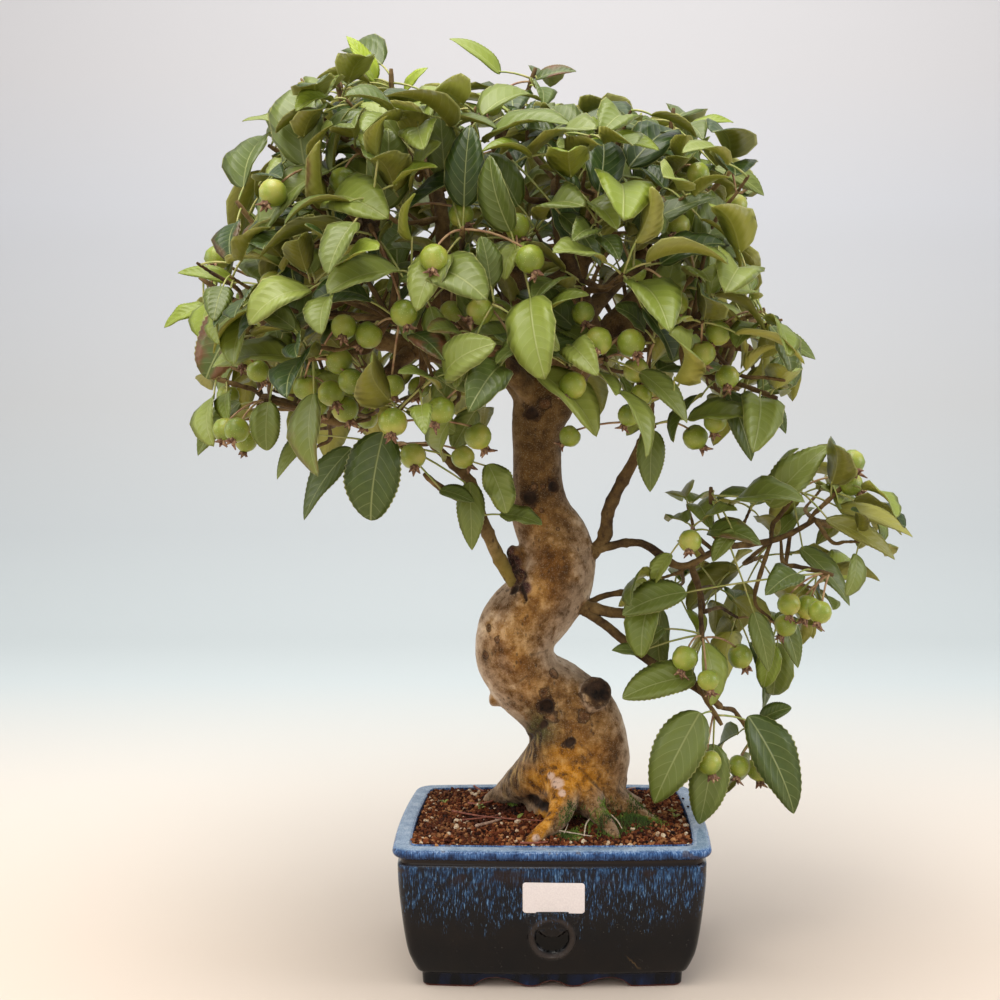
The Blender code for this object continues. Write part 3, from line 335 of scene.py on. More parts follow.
MASK_SIDE = (                           # half the mask's width at heights up the wall
    (0.0415, 0.0), (0.0422, 0.0050), (0.0440, 0.0082), (0.0465, 0.0104), (0.0490, 0.0118), (0.0506, 0.0145),
    (0.0525, 0.0180), (0.0565, 0.0188), (0.0585, 0.0172), (0.0592, 0.0))
MASK_STAND = 0.0022
BROWS = (0.0062, 0.0462)                # the two brow ridges: distance from the middle, and height
DRAIN_RADIUS = 0.007
DRAIN_APART = 0.045


def smooth_line(points, count):
    """A Catmull-Rom curve through the points, sampled at equal steps of their index: each stretch is the
    cubic whose slope at a point is half the step from the point before to the point after."""
    points = np.array(points, float)
    padded = np.vstack([2 * points[0] - points[1], points, 2 * points[-1] - points[-2]])
    places = np.linspace(0.0, len(points) - 1.0001, count)
    whole = places.astype(int)
    t = (places - whole)[:, None]
    p0, p1, p2, p3 = (padded[whole + k] for k in range(4))
    return 0.5 * (2 * p1 + (p2 - p0) * t + (2 * p0 - 5 * p1 + 4 * p2 - p3) * t ** 2
                  + (3 * p1 - p0 - 3 * p2 + p3) * t ** 3)


def pot_stations():
    """Stations round the pot's plan, counter-clockwise. Each has a place on the rectangle of the corner
    centres (from -1 to 1 each way), the way outwards, and its share of the side's bow, 1 - k squared
    where k runs from -1 to 1 along the side. They lie closer together near the middle of a long side."""
    places, ways, bows = [], [], []
    for quarter, (x, y) in enumerate(((1, 1), (-1, 1), (-1, -1), (1, -1))):
        turn = math.pi / 2 * (quarter + np.linspace(0, 1, CORNER_STEPS))
        places.append(np.tile((x, y), (CORNER_STEPS, 1)))
        ways.append(np.stack((np.cos(turn), np.sin(turn)), -1))
        bows.append(np.zeros(CORNER_STEPS))
        steps = LONG_STEPS if quarter % 2 == 0 else END_STEPS
        even = np.linspace(1, -1, steps + 2)[1:-1]
        if quarter % 2 == 0:
            along = 0.6 * even ** 3 + 0.4 * even
            places.append(np.stack((x * along, np.full(steps, y)), -1))
        else:
            along = even
            places.append(np.stack((np.full(steps, x), y * along), -1))
        ways.append(np.tile((0, y) if quarter % 2 == 0 else (x, 0), (steps, 1)))
        bows.append(1 - along ** 2)
    return np.vstack(places), np.vstack(ways), np.concatenate(bows)


def pot_rings(insets, heights):
    """Rings of the pot's plan: corner centre + corner radius times the way outwards + bow, for every inset
    from the rim's face. Points come as ring by station."""
    places, ways, bows = pot_stations()
    insets = np.asarray(insets, float)[:, None, None]
    corner = np.maximum(RIM_CORNER - 0.7 * insets, CORNER_LEAST)
    centre = POT_HALF - insets - POT_BOW - corner
    plan = centre * places + (corner + POT_BOW * bows[:, None]) * ways
    tall = np.broadcast_to(np.asarray(heights, float)[:, None, None], plan.shape[:2] + (1,))
    return np.concatenate((plan, tall), -1)


def ring_faces(rings, sides):
    """Four-sided faces of a closed strip of rings, each joined to the next, with the rings lying round."""
    ring, side = np.meshgrid(np.arange(rings - 1), np.arange(sides), indexing="ij")
    a = ring * sides + side
    b = ring * sides + (side + 1) % sides
    return np.stack((a, b, b + sides, a + sides), -1).reshape(-1, 4)


def pot_relief(x, z):
    """How far the ornament stands out of a long face at distance x from its middle and height z: the ring
    is half of a round band, and the mask is as wide as its side line says, with rounded edges."""
    off_ring = (np.hypot(x, z - RING_HEIGHT) - RING_RADIUS) / RING_BAND
    ring = RING_STAND * np.sqrt(np.clip(1 - off_ring ** 2, 0, 1))
    heights, halves = zip(*MASK_SIDE)
    edge = np.clip((np.interp(z, heights, halves) - np.abs(x)) / 0.0026, 0, 1)
    mask = MASK_STAND * np.sqrt(1 - (1 - edge) ** 2)
    brow = 0.0013 * np.exp(-((np.abs(x) - BROWS[0]) / 0.0030) ** 2 - ((z - BROWS[1]) / 0.0009) ** 2)
    nose = 0.0008 * np.exp(-(x / 0.0022) ** 2 - ((z - 0.0415) / 0.0030) ** 2)
    dish = -0.0010 * np.exp(-(off_ring / 3.2) ** 4) * (off_ring < 0) * (mask < 0.0002)
    return np.maximum(ring, mask) + (brow + nose) * (mask > 0.001) + dish


def pot_surface():
    """The pot's one closed skin: rings from the inner foot, round the foot, up the wall, over the rim and
    down inside, with the foot's lower edge raised to the arches and the ornament's relief pushed out."""
    body = smooth_line(BODY, 74)
    turn = np.linspace(-1.25, 0.5 * math.pi, 16)
    rim = np.stack((RIM_MIDDLE[0] - RIM_ROUND * np.cos(turn), RIM_MIDDLE[1] + RIM_ROUND * np.sin(turn)), -1)
    inside = smooth_line(INSIDE, 26)
    profile = np.vstack((FOOT_RING, body, GROOVE, rim, inside))
    rings = pot_rings(profile[:, 0], profile[:, 1])
    ways = pot_stations()[1]
    lows = len(FOOT_RING)
    front = np.abs(ways[:, 1]) > 0.5
    x, y = rings[:lows, :, 0], rings[:lows, :, 1]
    arch = np.where(front, np.interp(np.abs(x), *zip(*FRONT_ARCH)), np.interp(np.abs(y), *zip(*SIDE_ARCH)))
    share = 1 - rings[:lows, :, 2] / POT_UNDERSIDE
    rings[:lows, :, 2] += arch * np.clip(share, 0, 1)
    wall = slice(lows, lows + len(body))
    on_face = (np.abs(ways[:, 1]) > 0.99) * pot_relief(rings[wall, :, 0], rings[wall, :, 2])
    rings[wall, :, 1] += on_face * np.sign(ways[:, 1])
    return rings


def pot_shape():
    """Points and faces of the pot, with a flat cap under its floor and one on it."""
    rings = pot_surface()
    count, sides = rings.shape[:2]
    faces = ring_faces(count, sides).tolist()
    faces.append(list(range(sides))[::-1])
    faces.append(list(range((count - 1) * sides, count * sides)))
    return rings.reshape(-1, 3) + POT_AT, faces


def turned_rod(middle, radius, low, high, sides=32):
    """A plain upright cylinder, as rings of points round its middle line with a cap at each end."""
    turn = np.linspace(0, 2 * math.pi, sides, endpoint=False)
    ring = np.stack((middle[0] + radius * np.cos(turn), middle[1] + radius * np.sin(turn)), -1)
    points = np.vstack([np.column_stack((ring, np.full(sides, z))) for z in (low, high)])
    faces = ring_faces(2, sides).tolist()
    return points, faces + [list(range(sides))[::-1], list(range(sides, 2 * sides))]


def settle(item):
    """Replace a piece's mesh by what its modifiers make of it."""
    graph = bpy.context.evaluated_depsgraph_get()
    mesh = bpy.data.meshes.new_from_object(item.evaluated_get(graph))
    item.modifiers.clear()
    item.data = mesh


def glaze():
    """Near-black brown glaze with fine blue flecks that ran down from the rim: streaks of noise stretched
    upright, dense near the top and gone below a ragged edge, round brown blotches under the groove, sparse
    pale specks, a blue mottled rim with painted shade on its lower part and a painted highlight on its
    upper and inner side where it faces up, and the ring ornament's band worn paler and given a painted
    highlight, over a recess painted black as shade."""
    made, tree, shader = new_finish("pot_glaze", Roughness=0.16, Specular_IOR_Level=0.24)
    place = add(tree, "TexCoord", result=3)
    height = part_of(place, 2)
    aside = part_of(place, 0) - float(POT_AT[0])
    drawn = squeezed(place, (1.0, 1.0, 0.13))
    streak = noise(drawn, 1150.0, 3.0, 0.65)
    wide = squeezed(place, (1.0, 1.0, 0.4))
    broad = noise(wide, 85.0, 3.0)
    ragged = noise(wide, 210.0)
    blotch = noise(squeezed(place, (1.0, 1.0, 1.7)), 42.0, 1.0)
    low_edge = broad * 0.052 + ragged * 0.02
    fall = rise_between(height + low_edge, 0.08, 0.124)
    amount = streak + (fall - 0.5) * 0.22
    amount = amount + (ragged - 0.5) * 0.34
    flecks = rise_between(amount, 0.53, 0.68) * rise_between(fall, 0.0, 0.25)
    dark = ramp(noise(place, 30.0, 4.0), (0.3, "#08090d"), (0.5, "#0f0d0e"), (0.75, "#1a1412"))
    blue = ramp(streak, (0.42, "#10233f"), (0.58, "#274f7a"), (0.72, "#7399bb"))
    dark = blend(fall * 0.55, dark, "#0d1626")
    body = blend(flecks * 0.88, dark, blue)
    near_top = rise_between(height, 0.076, 0.083) * rise_between(height, 0.0915, 0.088)
    brown = near_top * rise_between(blotch, 0.53, 0.59)
    body = blend(brown * 0.85, body, "#1f110d")
    speck = add(tree, "TexVoronoi", Vector=place, Scale=420.0)
    speck = rise_between(speck, 0.14, 0.06) * rise_between(noise(place, 90.0), 0.52, 0.62)
    body = blend(speck * 0.5, body, "#8c867c")
    across = aside * aside
    above = height - RING_HEIGHT
    off_ring = maths("SQRT", across + above * above)
    on_wall = rise_between(height, 0.056, 0.054)
    # Painted shade: the recess inside the ring, below the mask, is painted near black.
    ring_recess_shade = rise_between(off_ring, RING_RADIUS - 0.4 * RING_BAND,
                          RING_RADIUS - 0.9 * RING_BAND) * rise_between(height, 0.043, 0.041)
    body = blend(ring_recess_shade, body, "#020203")
    # The ring's raised band is worn paler and carries a painted highlight.
    band = rise_between(abs(off_ring - RING_RADIUS), 0.9 * RING_BAND, 0.2 * RING_BAND)
    rubbed_and_highlit = band * on_wall * 0.42
    body = blend(rubbed_and_highlit, body, "#4a3f39")
    worn = aside - above * -1.0
    worn = abs(worn - (0.024 + broad * 0.022))
    worn = rise_between(worn, 0.0012, 0.0002) * (rise_between(height, 0.014, 0.017)
                                                 * rise_between(height, 0.028, 0.02))
    body = blend(worn * 0.3, body, "#8a7048")
    groove = rise_between(height, 0.0905, 0.092) * rise_between(height, 0.0968, 0.0955)
    body = blend(groove, body, "#231a16")
    fine = noise(drawn, 1000.0, 3.0)
    cloud = noise(place, 110.0, 3.0)
    mottle = fine * 0.55 + cloud * 0.45
    # Painted shade and highlight: the rim's mottle darkens towards its lower edge and lightens towards its
    # top.
    mottle = mottle + (rise_between(height, 0.0962, 0.103) - 0.55) * 0.2
    rim = ramp(mottle, (0.32, "#0e1629"), (0.45, "#1c3258"), (0.57, "#3b5f90"), (0.72, "#8ba6c8"))
    rusty = rise_between(cloud - height * 4.0, 0.2, 0.24)
    rim = blend(rusty * 0.7, rim, "#33201b")
    facing = part_of(add(tree, "NewGeometry", result=1), 2)
    # Painted highlight: where the rim faces up it turns a pale blue grey.
    pale = ramp(mottle, (0.38, "#566e8c"), (0.58, "#8099b4"), (0.78, "#b0c0d2"))
    rim = blend(rise_between(facing, 0.74, 0.97), rim, pale)
    whole = blend(rise_between(height, 0.0958, 0.0972), body, rim)
    within = rise_between(height, 0.0108, 0.0095)
    foot = ramp(broad, (0.4, "#07090f"), (0.62, "#0f1a33"), (0.75, "#1b3259"))
    whole = blend(within, whole, foot)
    bare = rise_between(facing, -0.22, -0.5)
    whole = blend(bare * rise_between(height, 0.0085, 0.0075), whole, "#5c2c20")
    feed(shader, Base_Color=whole)
    rough = cloud * 0.16 + 0.1
    feed(shader, Roughness=rough)
    wave = noise(drawn, 160.0)
    bump = add(tree, "Bump", Height=wave + streak * 0.25, Strength=0.2, Distance=0.0006)
    feed(shader, Normal=bump)
    return made


pot = piece_of("glazed_pot", *pot_shape(), glaze())
for side in (-1, 1):
    drain = piece_of("drain", *turned_rod(POT_AT + (side * DRAIN_APART, 0, 0), DRAIN_RADIUS, 0.0, 0.0300),
                     pot.data.materials[0])
    cut = pot.modifiers.new("drain", "BOOLEAN")
    cut.object = drain
    cut.solver = "EXACT"
    settle(pot)
    bpy.data.objects.remove(drain)
pot.data.set_sharp_from_angle(angle=math.radians(50))
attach(pot, "root")
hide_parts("pot")

# The label. A sticker of thin coated paper with round corners and nothing on it, pressed on the front
# wall between the groove and the mask.
LABEL_SIZE = (0.043, 0.022)
LABEL_X = 0.0012                        # its middle, from the pot's middle
LABEL_LOW = 0.0590
LABEL_ROUND = 0.0021
LABEL_TILT = math.radians(0.7)
LABEL_THICK = 0.0003
LABEL_CLEAR = 0.0002                    # between it and the wall


def front_face(x, height):
    """How far the front wall stands from the pot's middle plane: its inset at this height, and its bow,
    which falls off with the square of the distance from the middle."""
    insets, heights = smooth_line(BODY, 74).T
    inset = np.interp(height, heights, insets)
    straight = POT_HALF[0] - inset - POT_BOW[0] - np.maximum(RIM_CORNER - 0.7 * inset, CORNER_LEAST)
    return POT_HALF[1] - inset - POT_BOW[1] * (x / straight) ** 2


def label_shape():
    """The sticker: rows across a rectangle whose half-width shrinks to quarter circles at top and bottom,
    laid on the wall, once for its face and once for its back."""
    rows, columns = 22, 25
    up = LABEL_SIZE[1] / 2 * np.sin(np.linspace(-math.pi / 2, math.pi / 2, rows))
    past = np.clip(np.abs(up) - (LABEL_SIZE[1] / 2 - LABEL_ROUND), 0, LABEL_ROUND)
    half = LABEL_SIZE[0] / 2 - LABEL_ROUND + np.sqrt(LABEL_ROUND ** 2 - past ** 2)
    x = half[:, None] * np.linspace(-1, 1, columns)
    z = LABEL_LOW + LABEL_SIZE[1] / 2 + up[:, None] - x * math.sin(LABEL_TILT)
    sheets = []
    for stand in (LABEL_CLEAR, LABEL_CLEAR + LABEL_THICK):
        y = -front_face(LABEL_X + x, z) - stand
        sheets.append(np.stack((LABEL_X + x, y, z), -1).reshape(-1, 3))
    row, column = np.meshgrid(np.arange(rows - 1), np.arange(columns - 1), indexing="ij")
    a = (row * columns + column).ravel()
    back = np.stack((a, a + columns, a + columns + 1, a + 1), -1)
    face = back[:, ::-1] + rows * columns
    edge = np.concatenate((np.arange(columns), np.arange(1, rows) * columns + columns - 1,
                           (rows - 1) * columns + np.arange(columns - 2, -1, -1),
                           np.arange(rows - 2, 0, -1) * columns))
    after = np.roll(edge, -1)
    walls = np.stack((edge, after, after + rows * columns, edge + rows * columns), -1)
    return np.vstack(sheets) + POT_AT, np.vstack((back, face, walls))


label_finish, tree, shader = new_finish("label_paper", Roughness=0.42, Specular_IOR_Level=0.4)
place = add(tree, "TexCoord", result=3)
fibre = noise(place, 900.0, 4.0)
feed(shader, Base_Color=ramp(fibre, (0.3, "#e2d9d8"), (0.7, "#eee6e4")))
feed(shader, Normal=add(tree, "Bump", Height=fibre, Strength=0.1, Distance=0.0002))
label = piece_of("blank_sticker", *label_shape(), label_finish)
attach(label, "root")
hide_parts("blank_label")

# The tree's wood, which grew as one piece: roots that spread over the soil, a trunk bent into an S with
# grey-tan bark, knots, cut scars and stubs, and the limbs and twigs that carry the shoots. The bark is
# orange where it was buried before, rough in the hollows and darkened there with painted shade, and
# smooth brown on the young limbs. Painted shade also darkens the trunk towards the crown, and a painted
# pale sheen lies where the bark is seen side-on.
# Trunk: pixel, depth and diameter up its middle line, from its lowest seen point to the fork
TRUNK = (
    (573, 800, 0.007, 0.074), (578, 775, 0.006, 0.070), (578, 750, 0.004, 0.070),
    (574, 722, 0.005, 0.069), (556, 700, 0.004, 0.063), (530, 680, -0.002, 0.057),
    (516, 655, -0.006, 0.057), (520, 628, -0.006, 0.057), (540, 602, -0.002, 0.056),
    (556, 572, 0.003, 0.058), (553, 545, 0.005, 0.054), (541, 515, 0.003, 0.044),
    (538, 485, 0.001, 0.036), (538, 455, 0.000, 0.036), (539, 425, 0.000, 0.040),
    (546, 398, 0.000, 0.048), (547, 374, 0.000, 0.040), (546, 352, 0.002, 0.020))
TRUNK_FOOT = (0.006, 0.010, 0.068)      # end of the buried part, from the pot's centre
FOOT_RADIUS = 0.028                     # and its radius there
BASE_DEPTH = 0.76                       # the trunk is less deep than wide at its base, by this share
BASE_REACH = 6                          # over this many of the rings that the solid's trunk has
TRUNK_RINGS = 27

# Roots: pixel, depth and radius from inside the trunk's base out to where each sinks into the soil
ROOTS = (
    ((566, 780, -0.012, 0.0190), (563, 802, -0.034, 0.0110), (555, 822, -0.047, 0.0078),
     (530, 842, -0.062, 0.0038)),
    ((556, 762, 0.002, 0.0260), (528, 780, 0.012, 0.0170), (507, 792, 0.024, 0.0100),
     (486, 802, 0.038, 0.0035)),
    ((588, 782, -0.004, 0.0200), (615, 803, -0.008, 0.0120), (636, 815, -0.016, 0.0078),
     (660, 829, -0.026, 0.0035)),
    ((582, 792, -0.014, 0.0150), (596, 812, -0.034, 0.0078), (608, 827, -0.044, 0.0060),
     (617, 840, -0.056, 0.0032)),
    ((588, 778, 0.012, 0.0190), (608, 792, 0.024, 0.0115), (630, 802, 0.036, 0.0070),
     (650, 809, 0.046, 0.0035)),
    ((568, 776, 0.016, 0.0180), (560, 788, 0.034, 0.0110), (552, 795, 0.045, 0.0070),
     (545, 801, 0.052, 0.0035)))
ROOT_END = 0.0022                       # a root's radius at its buried end
ROOT_DIVE = 0.014                       # and how far that end lies below where it sinks in

# Stubs and cut ends on the trunk: pixels and depths from inside to the cut, and radius
STUBS = (
    ((588, 699, -0.012), (599, 690, -0.029), 0.0100),
    ((510, 698, -0.002), (489, 700, -0.004), 0.0050),
    ((530, 590, -0.006), (509, 582, -0.010), 0.0080),
    ((532, 572, -0.004), (512, 552, -0.006), 0.0070),
    ((564, 710, -0.012), (551, 715, -0.027), 0.0070),
    ((530, 562, -0.004), (508, 549, -0.009), 0.0050),
    ((530, 580, -0.006), (512, 566, -0.012), 0.0070))

# Limbs: pixels and depths from inside the wood they grow from, with the radius at each end
LIMBS = {
    "leader": (0.0150, 0.0050, ((545, 405, 0.000), (530, 345, 0.004), (516, 295, 0.010),
        (506, 240, 0.016), (500, 180, 0.016), (503, 120, 0.008))),
    "twin": (0.0110, 0.0040, ((548, 405, 0.000), (556, 350, -0.015), (572, 290, -0.035),
        (590, 230, -0.050), (600, 170, -0.040))),
    "right_up": (0.0120, 0.0040, ((552, 400, 0.002), (596, 345, 0.010), (645, 290, 0.018),
        (682, 235, 0.018), (700, 180, 0.008))),
    "right_low": (0.0080, 0.0035, ((610, 330, 0.013), (665, 335, 0.012), (720, 340, 0.005),
        (752, 350, 0.000))),
    "left_up": (0.0120, 0.0045, ((538, 400, 0.000), (480, 338, -0.006), (420, 285, -0.015),
        (365, 225, -0.020), (330, 160, -0.010))),
    "left_low": (0.0090, 0.0035, ((500, 358, -0.004), (430, 352, 0.004), (360, 335, 0.008),
        (290, 322, 0.006), (236, 312, 0.000))),
    "left_edge": (0.0050, 0.0030, ((410, 352, 0.000), (375, 385, -0.016), (341, 420, -0.026),
        (299, 408, -0.028), (262, 396, -0.020))),
    "front_left": (0.0080, 0.0035, ((538, 402, -0.004), (490, 352, -0.050), (430, 330, -0.090),
        (390, 318, -0.105))),
    "front_up": (0.0060, 0.0035, ((455, 338, -0.075), (445, 270, -0.100), (440, 205, -0.100),
        (420, 140, -0.070))),
    "front_right": (0.0080, 0.0035, ((555, 402, -0.004), (590, 362, -0.050), (640, 335, -0.085),
        (692, 325, -0.080))),
    "front_top": (0.0055, 0.0035, ((602, 355, -0.060), (580, 290, -0.105), (560, 235, -0.110),
        (555, 180, -0.085))),
    "back_left": (0.0085, 0.0035, ((538, 390, 0.006), (470, 320, 0.060), (400, 262, 0.100),
        (350, 220, 0.085))),
    "back_right": (0.0085, 0.0035, ((552, 385, 0.006), (592, 310, 0.065), (640, 255, 0.095),
        (660, 205, 0.080))),
    "back_mid": (0.0070, 0.0035, ((535, 350, 0.010), (515, 270, 0.080), (510, 200, 0.110),
        (500, 150, 0.085))),
    "low_left": (0.0054, 0.0030, ((530, 606, -0.010), (504, 567, -0.014), (484, 524, -0.018),
        (471, 484, -0.020), (449, 460, -0.022), (430, 442, -0.024))),
    "low_left_fork": (0.0030, 0.0022, ((474, 505, -0.019), (447, 492, -0.034), (424, 474, -0.045))),
    "right_rise": (0.0053, 0.0035, ((578, 566, 0.004), (603, 540, 0.000), (610, 506, -0.006),
        (634, 460, -0.014), (647, 430, -0.022), (650, 400, -0.036))),
    "right_arm": (0.0033, 0.0019, ((596, 549, 0.000), (640, 543, -0.008), (681, 566, -0.014),
        (722, 548, -0.014), (775, 540, -0.006), (815, 520, -0.004))),
    "right_drop": (0.0036, 0.0027, ((576, 606, 0.000), (608, 627, -0.010), (648, 660, -0.020),
        (700, 690, -0.026), (722, 708, -0.022))),
    "right_stub": (0.0042, 0.0040, ((576, 604, 0.000), (610, 612, -0.006), (646, 614, -0.010))),
    "right_twig": (0.0026, 0.0020, ((580, 607, 0.002), (604, 596, 0.006), (631, 591, 0.008))),
    "right_inner": (0.0026, 0.0020, ((690, 562, -0.014), (700, 592, -0.018), (704, 612, -0.020)))}
TRUNK_STEPS = 240
TRUNK_AROUND = 84
ROOT_STEPS = 48
ROOT_AROUND = 28
VOXEL = 0.0015                          # cell that the thick wood is fused with
COLLAR_REACH = 0.030                    # a limb swells over this length where it leaves the trunk
LIMB_STEP = 0.0024
LIMB_AROUND = 14
TWIG_STEPS = 16
TWIG_AROUND = 8
SCARS = (
    # pixel, radius in pixels, how far its rim stands out and its middle dips, in millimetres
    (599, 690, 15, 1.5, 3.0), (584, 717, 8, 1.1, 1.0), (551, 718, 7, 0.8, 1.0), (547, 707, 9, 0.6, 5.0),
    (544, 692, 5, 1.5, 0.6), (553, 673, 5, 0.8, 0.9), (570, 742, 6, 0.5, 1.4), (486, 655, 4, 0.8, 1.0),
    (530, 498, 8, 1.0, 1.3), (553, 486, 6, 1.4, 1.3), (534, 487, 4, 0.9, 0.7), (543, 487, 3, 0.7, 0.5),
    (541, 511, 3, 0.2, 1.0), (558, 529, 3, 0.2, 0.9), (532, 413, 8, 1.4, 1.2), (545, 405, 7, 1.2, 1.0),
    (509, 574, 7, 0.6, 2.4), (515, 590, 6, 0.5, 1.6), (521, 578, 5, 0.6, 1.0), (497, 640, 3, 0.3, 0.8),
    (489, 628, 3, 0.2, 0.8), (620, 708, 5, 0.8, 0.8))
CREASES = (
    # pixels of both ends, half width in pixels, depth in millimetres
    ((531, 655), (549, 650), 1.9, 0.9), ((506, 663), (531, 655), 1.3, 0.5),
    ((519, 682), (527, 676), 1.5, 0.7), ((531, 800), (546, 808), 7.0, 3.0),
    ((580, 768), (600, 790), 2.2, 0.8), ((530, 738), (545, 724), 4.0, 2.0),
    ((562, 744), (575, 740), 1.6, 1.0), ((512, 560), (526, 600), 2.0, 1.8),
    ((526, 748), (556, 768), 2.2, 1.2), ((572, 762), (612, 778), 2.0, 0.6),
    ((515, 540), (527, 560), 1.8, 1.2), ((600, 717), (605, 719), 1.1, 0.4),
    ((607, 727), (604, 733), 1.1, 0.4), ((610, 719), (613, 727), 1.1, 0.4),
    ((599, 734), (602, 737), 1.1, 0.4), ((619, 727), (622, 732), 1.1, 0.4),
    ((617, 753), (619, 761), 1.1, 0.4), ((605, 758), (608, 763), 1.1, 0.4),
    ((594, 723), (598, 725), 1.4, 0.5), ((587, 729), (590, 733), 1.1, 0.4))
TAN_SPOTS = (                           # pixels of the tan patches and how far each reaches
    (548, 562, 20), (540, 592, 18), (524, 616, 13), (502, 636, 16), (512, 660, 18), (530, 690, 12),
    (543, 697, 6), (575, 735, 16), (598, 752, 12), (538, 520, 14))
DEAD_SPOTS = ((600, 690, 9), (507, 550, 8), (513, 563, 9), (519, 576, 9), (525, 588, 7))
ROUGH_SPOTS = ((599, 690, 18), (549, 708, 17), (584, 718, 10), (571, 742, 9), (534, 738, 16), (486, 655, 7))
FIBRE_SPOTS = ((530, 754, 17), (512, 772, 18), (497, 788, 16))
PALE_SPOTS = ((557, 783, 8), (551, 776, 5), (562, 793, 5), (536, 838, 5))
# Orange and olive areas: middle and half widths in pixels, and how strong
WARM_FLANGE = ((558, 778), (42, 18), 1.6)
WARM_BAND = ((556, 753), (34, 10), 0.8)
OLIVE_HOLLOW = ((538, 730), (17, 18), 1.2)
OLIVE_COLLAR = ((512, 588), (20, 26), 1.0)
OLIVE_LIMB = ((505, 575), (16, 28), 0.8)


def unit(vector):
    return vector / np.linalg.norm(vector)


def frames_along(line):
    """Directions at each point of a line: along it, and two across it that turn as little as possible."""
    tangents = np.gradient(line, axis=0)
    tangents /= np.linalg.norm(tangents, axis=1)[:, None]
    start = np.array((0.0, -1.0, 0.0)) if abs(tangents[0][1]) < 0.9 else np.array((1.0, 0.0, 0.0))
    first = []
    for tangent in tangents:
        start = unit(start - tangent * start.dot(tangent))
        first.append(start)
    first = np.array(first)
    return tangents, first, np.cross(tangents, first)


def tube(line, radii, sides, shape=None, flat=None):
    """A closed round skin along a line. Ring point = line + radius * (cos turn * first way + sin turn *
    second way); shape multiplies the radius by ring and turn, and flat the reach along the first way. Each
    end is closed by triangles to the line's end point."""
    tangents, first, second = frames_along(line)
    turn = np.linspace(0.0, 2 * math.pi, sides, endpoint=False)
    reach = radii[:, None] * (1.0 if shape is None else shape(turn[None, :]))
    reach = np.broadcast_to(reach, (len(line), sides))[..., None]
    squeeze = 1.0 if flat is None else flat[:, None, None]
    rings = line[:, None] + reach * (np.cos(turn)[None, :, None] * first[:, None] * squeeze
                                     + np.sin(turn)[None, :, None] * second[:, None])
    quads = ring_faces(len(line), sides)
    around = np.arange(sides)
    after = (around + 1) % sides
    last = (len(line) - 1) * sides
    ends = len(line) * sides
    faces = np.concatenate((
        quads[:, [0, 1, 2]], quads[:, [0, 2, 3]],
        np.stack((after, around, np.full(sides, ends)), -1),
        np.stack((last + around, last + after, np.full(sides, ends + 1)), -1)))
    return np.vstack((rings.reshape(-1, 3), line[:1], line[-1:])), faces


def joined(shapes):
    """One list of points and one of faces for many shapes."""
    starts = np.cumsum([0] + [len(points) for points, _ in shapes[:-1]])
    return (np.vstack([points for points, _ in shapes]),
            np.concatenate([faces + start for (_, faces), start in zip(shapes, starts)]))


def value_noise(places, seed):
    """Smooth noise from -1 to 1. Each whole-number place has its own value, hashed from the place and the
    seed, and between them the eight nearest are mixed by 3 t squared minus 2 t cubed each way."""
    cell = np.floor(places).astype(np.int64)
    t = places - cell
    t = t * t * (3 - 2 * t)
    total = np.zeros(len(places))
    for corner in itertools.product((0, 1), repeat=3):
        spot = cell + corner
        number = (spot @ np.array((374761393, 668265263, 1274126177)) + seed * 144269501) & 0xffffffff
        number = ((number ^ (number >> 13)) * 1103515245) & 0xffffffff
        value = ((number ^ (number >> 16)) & 0xffff) / 32767.5 - 1
        total += value * np.prod(np.where(corner, t, 1 - t), axis=1)
    return total


def trunk_swell(line):
    """How the trunk's radius changes round its section: three, two and five soft ribs that wind up it."""
    along = np.linspace(0.0, 1.0, len(line))[:, None]
    return lambda turn: (1.0 + 0.05 * np.cos(3 * turn + 14 * along)
                         + 0.035 * np.cos(2 * turn - 23 * along + 1.0)
                         + 0.02 * np.cos(5 * turn + 31 * along))


def travel(line):
    """How far along a line each of its points lies: the running sum of the steps between them."""
    return np.concatenate(((0,), np.cumsum(np.linalg.norm(np.diff(line, axis=0), axis=1))))


def spread(numbers, count):
    """Numbers that are given at even steps of a line, read at count even steps."""
    return np.interp(np.linspace(0, 1, count), np.linspace(0, 1, len(numbers)), numbers)


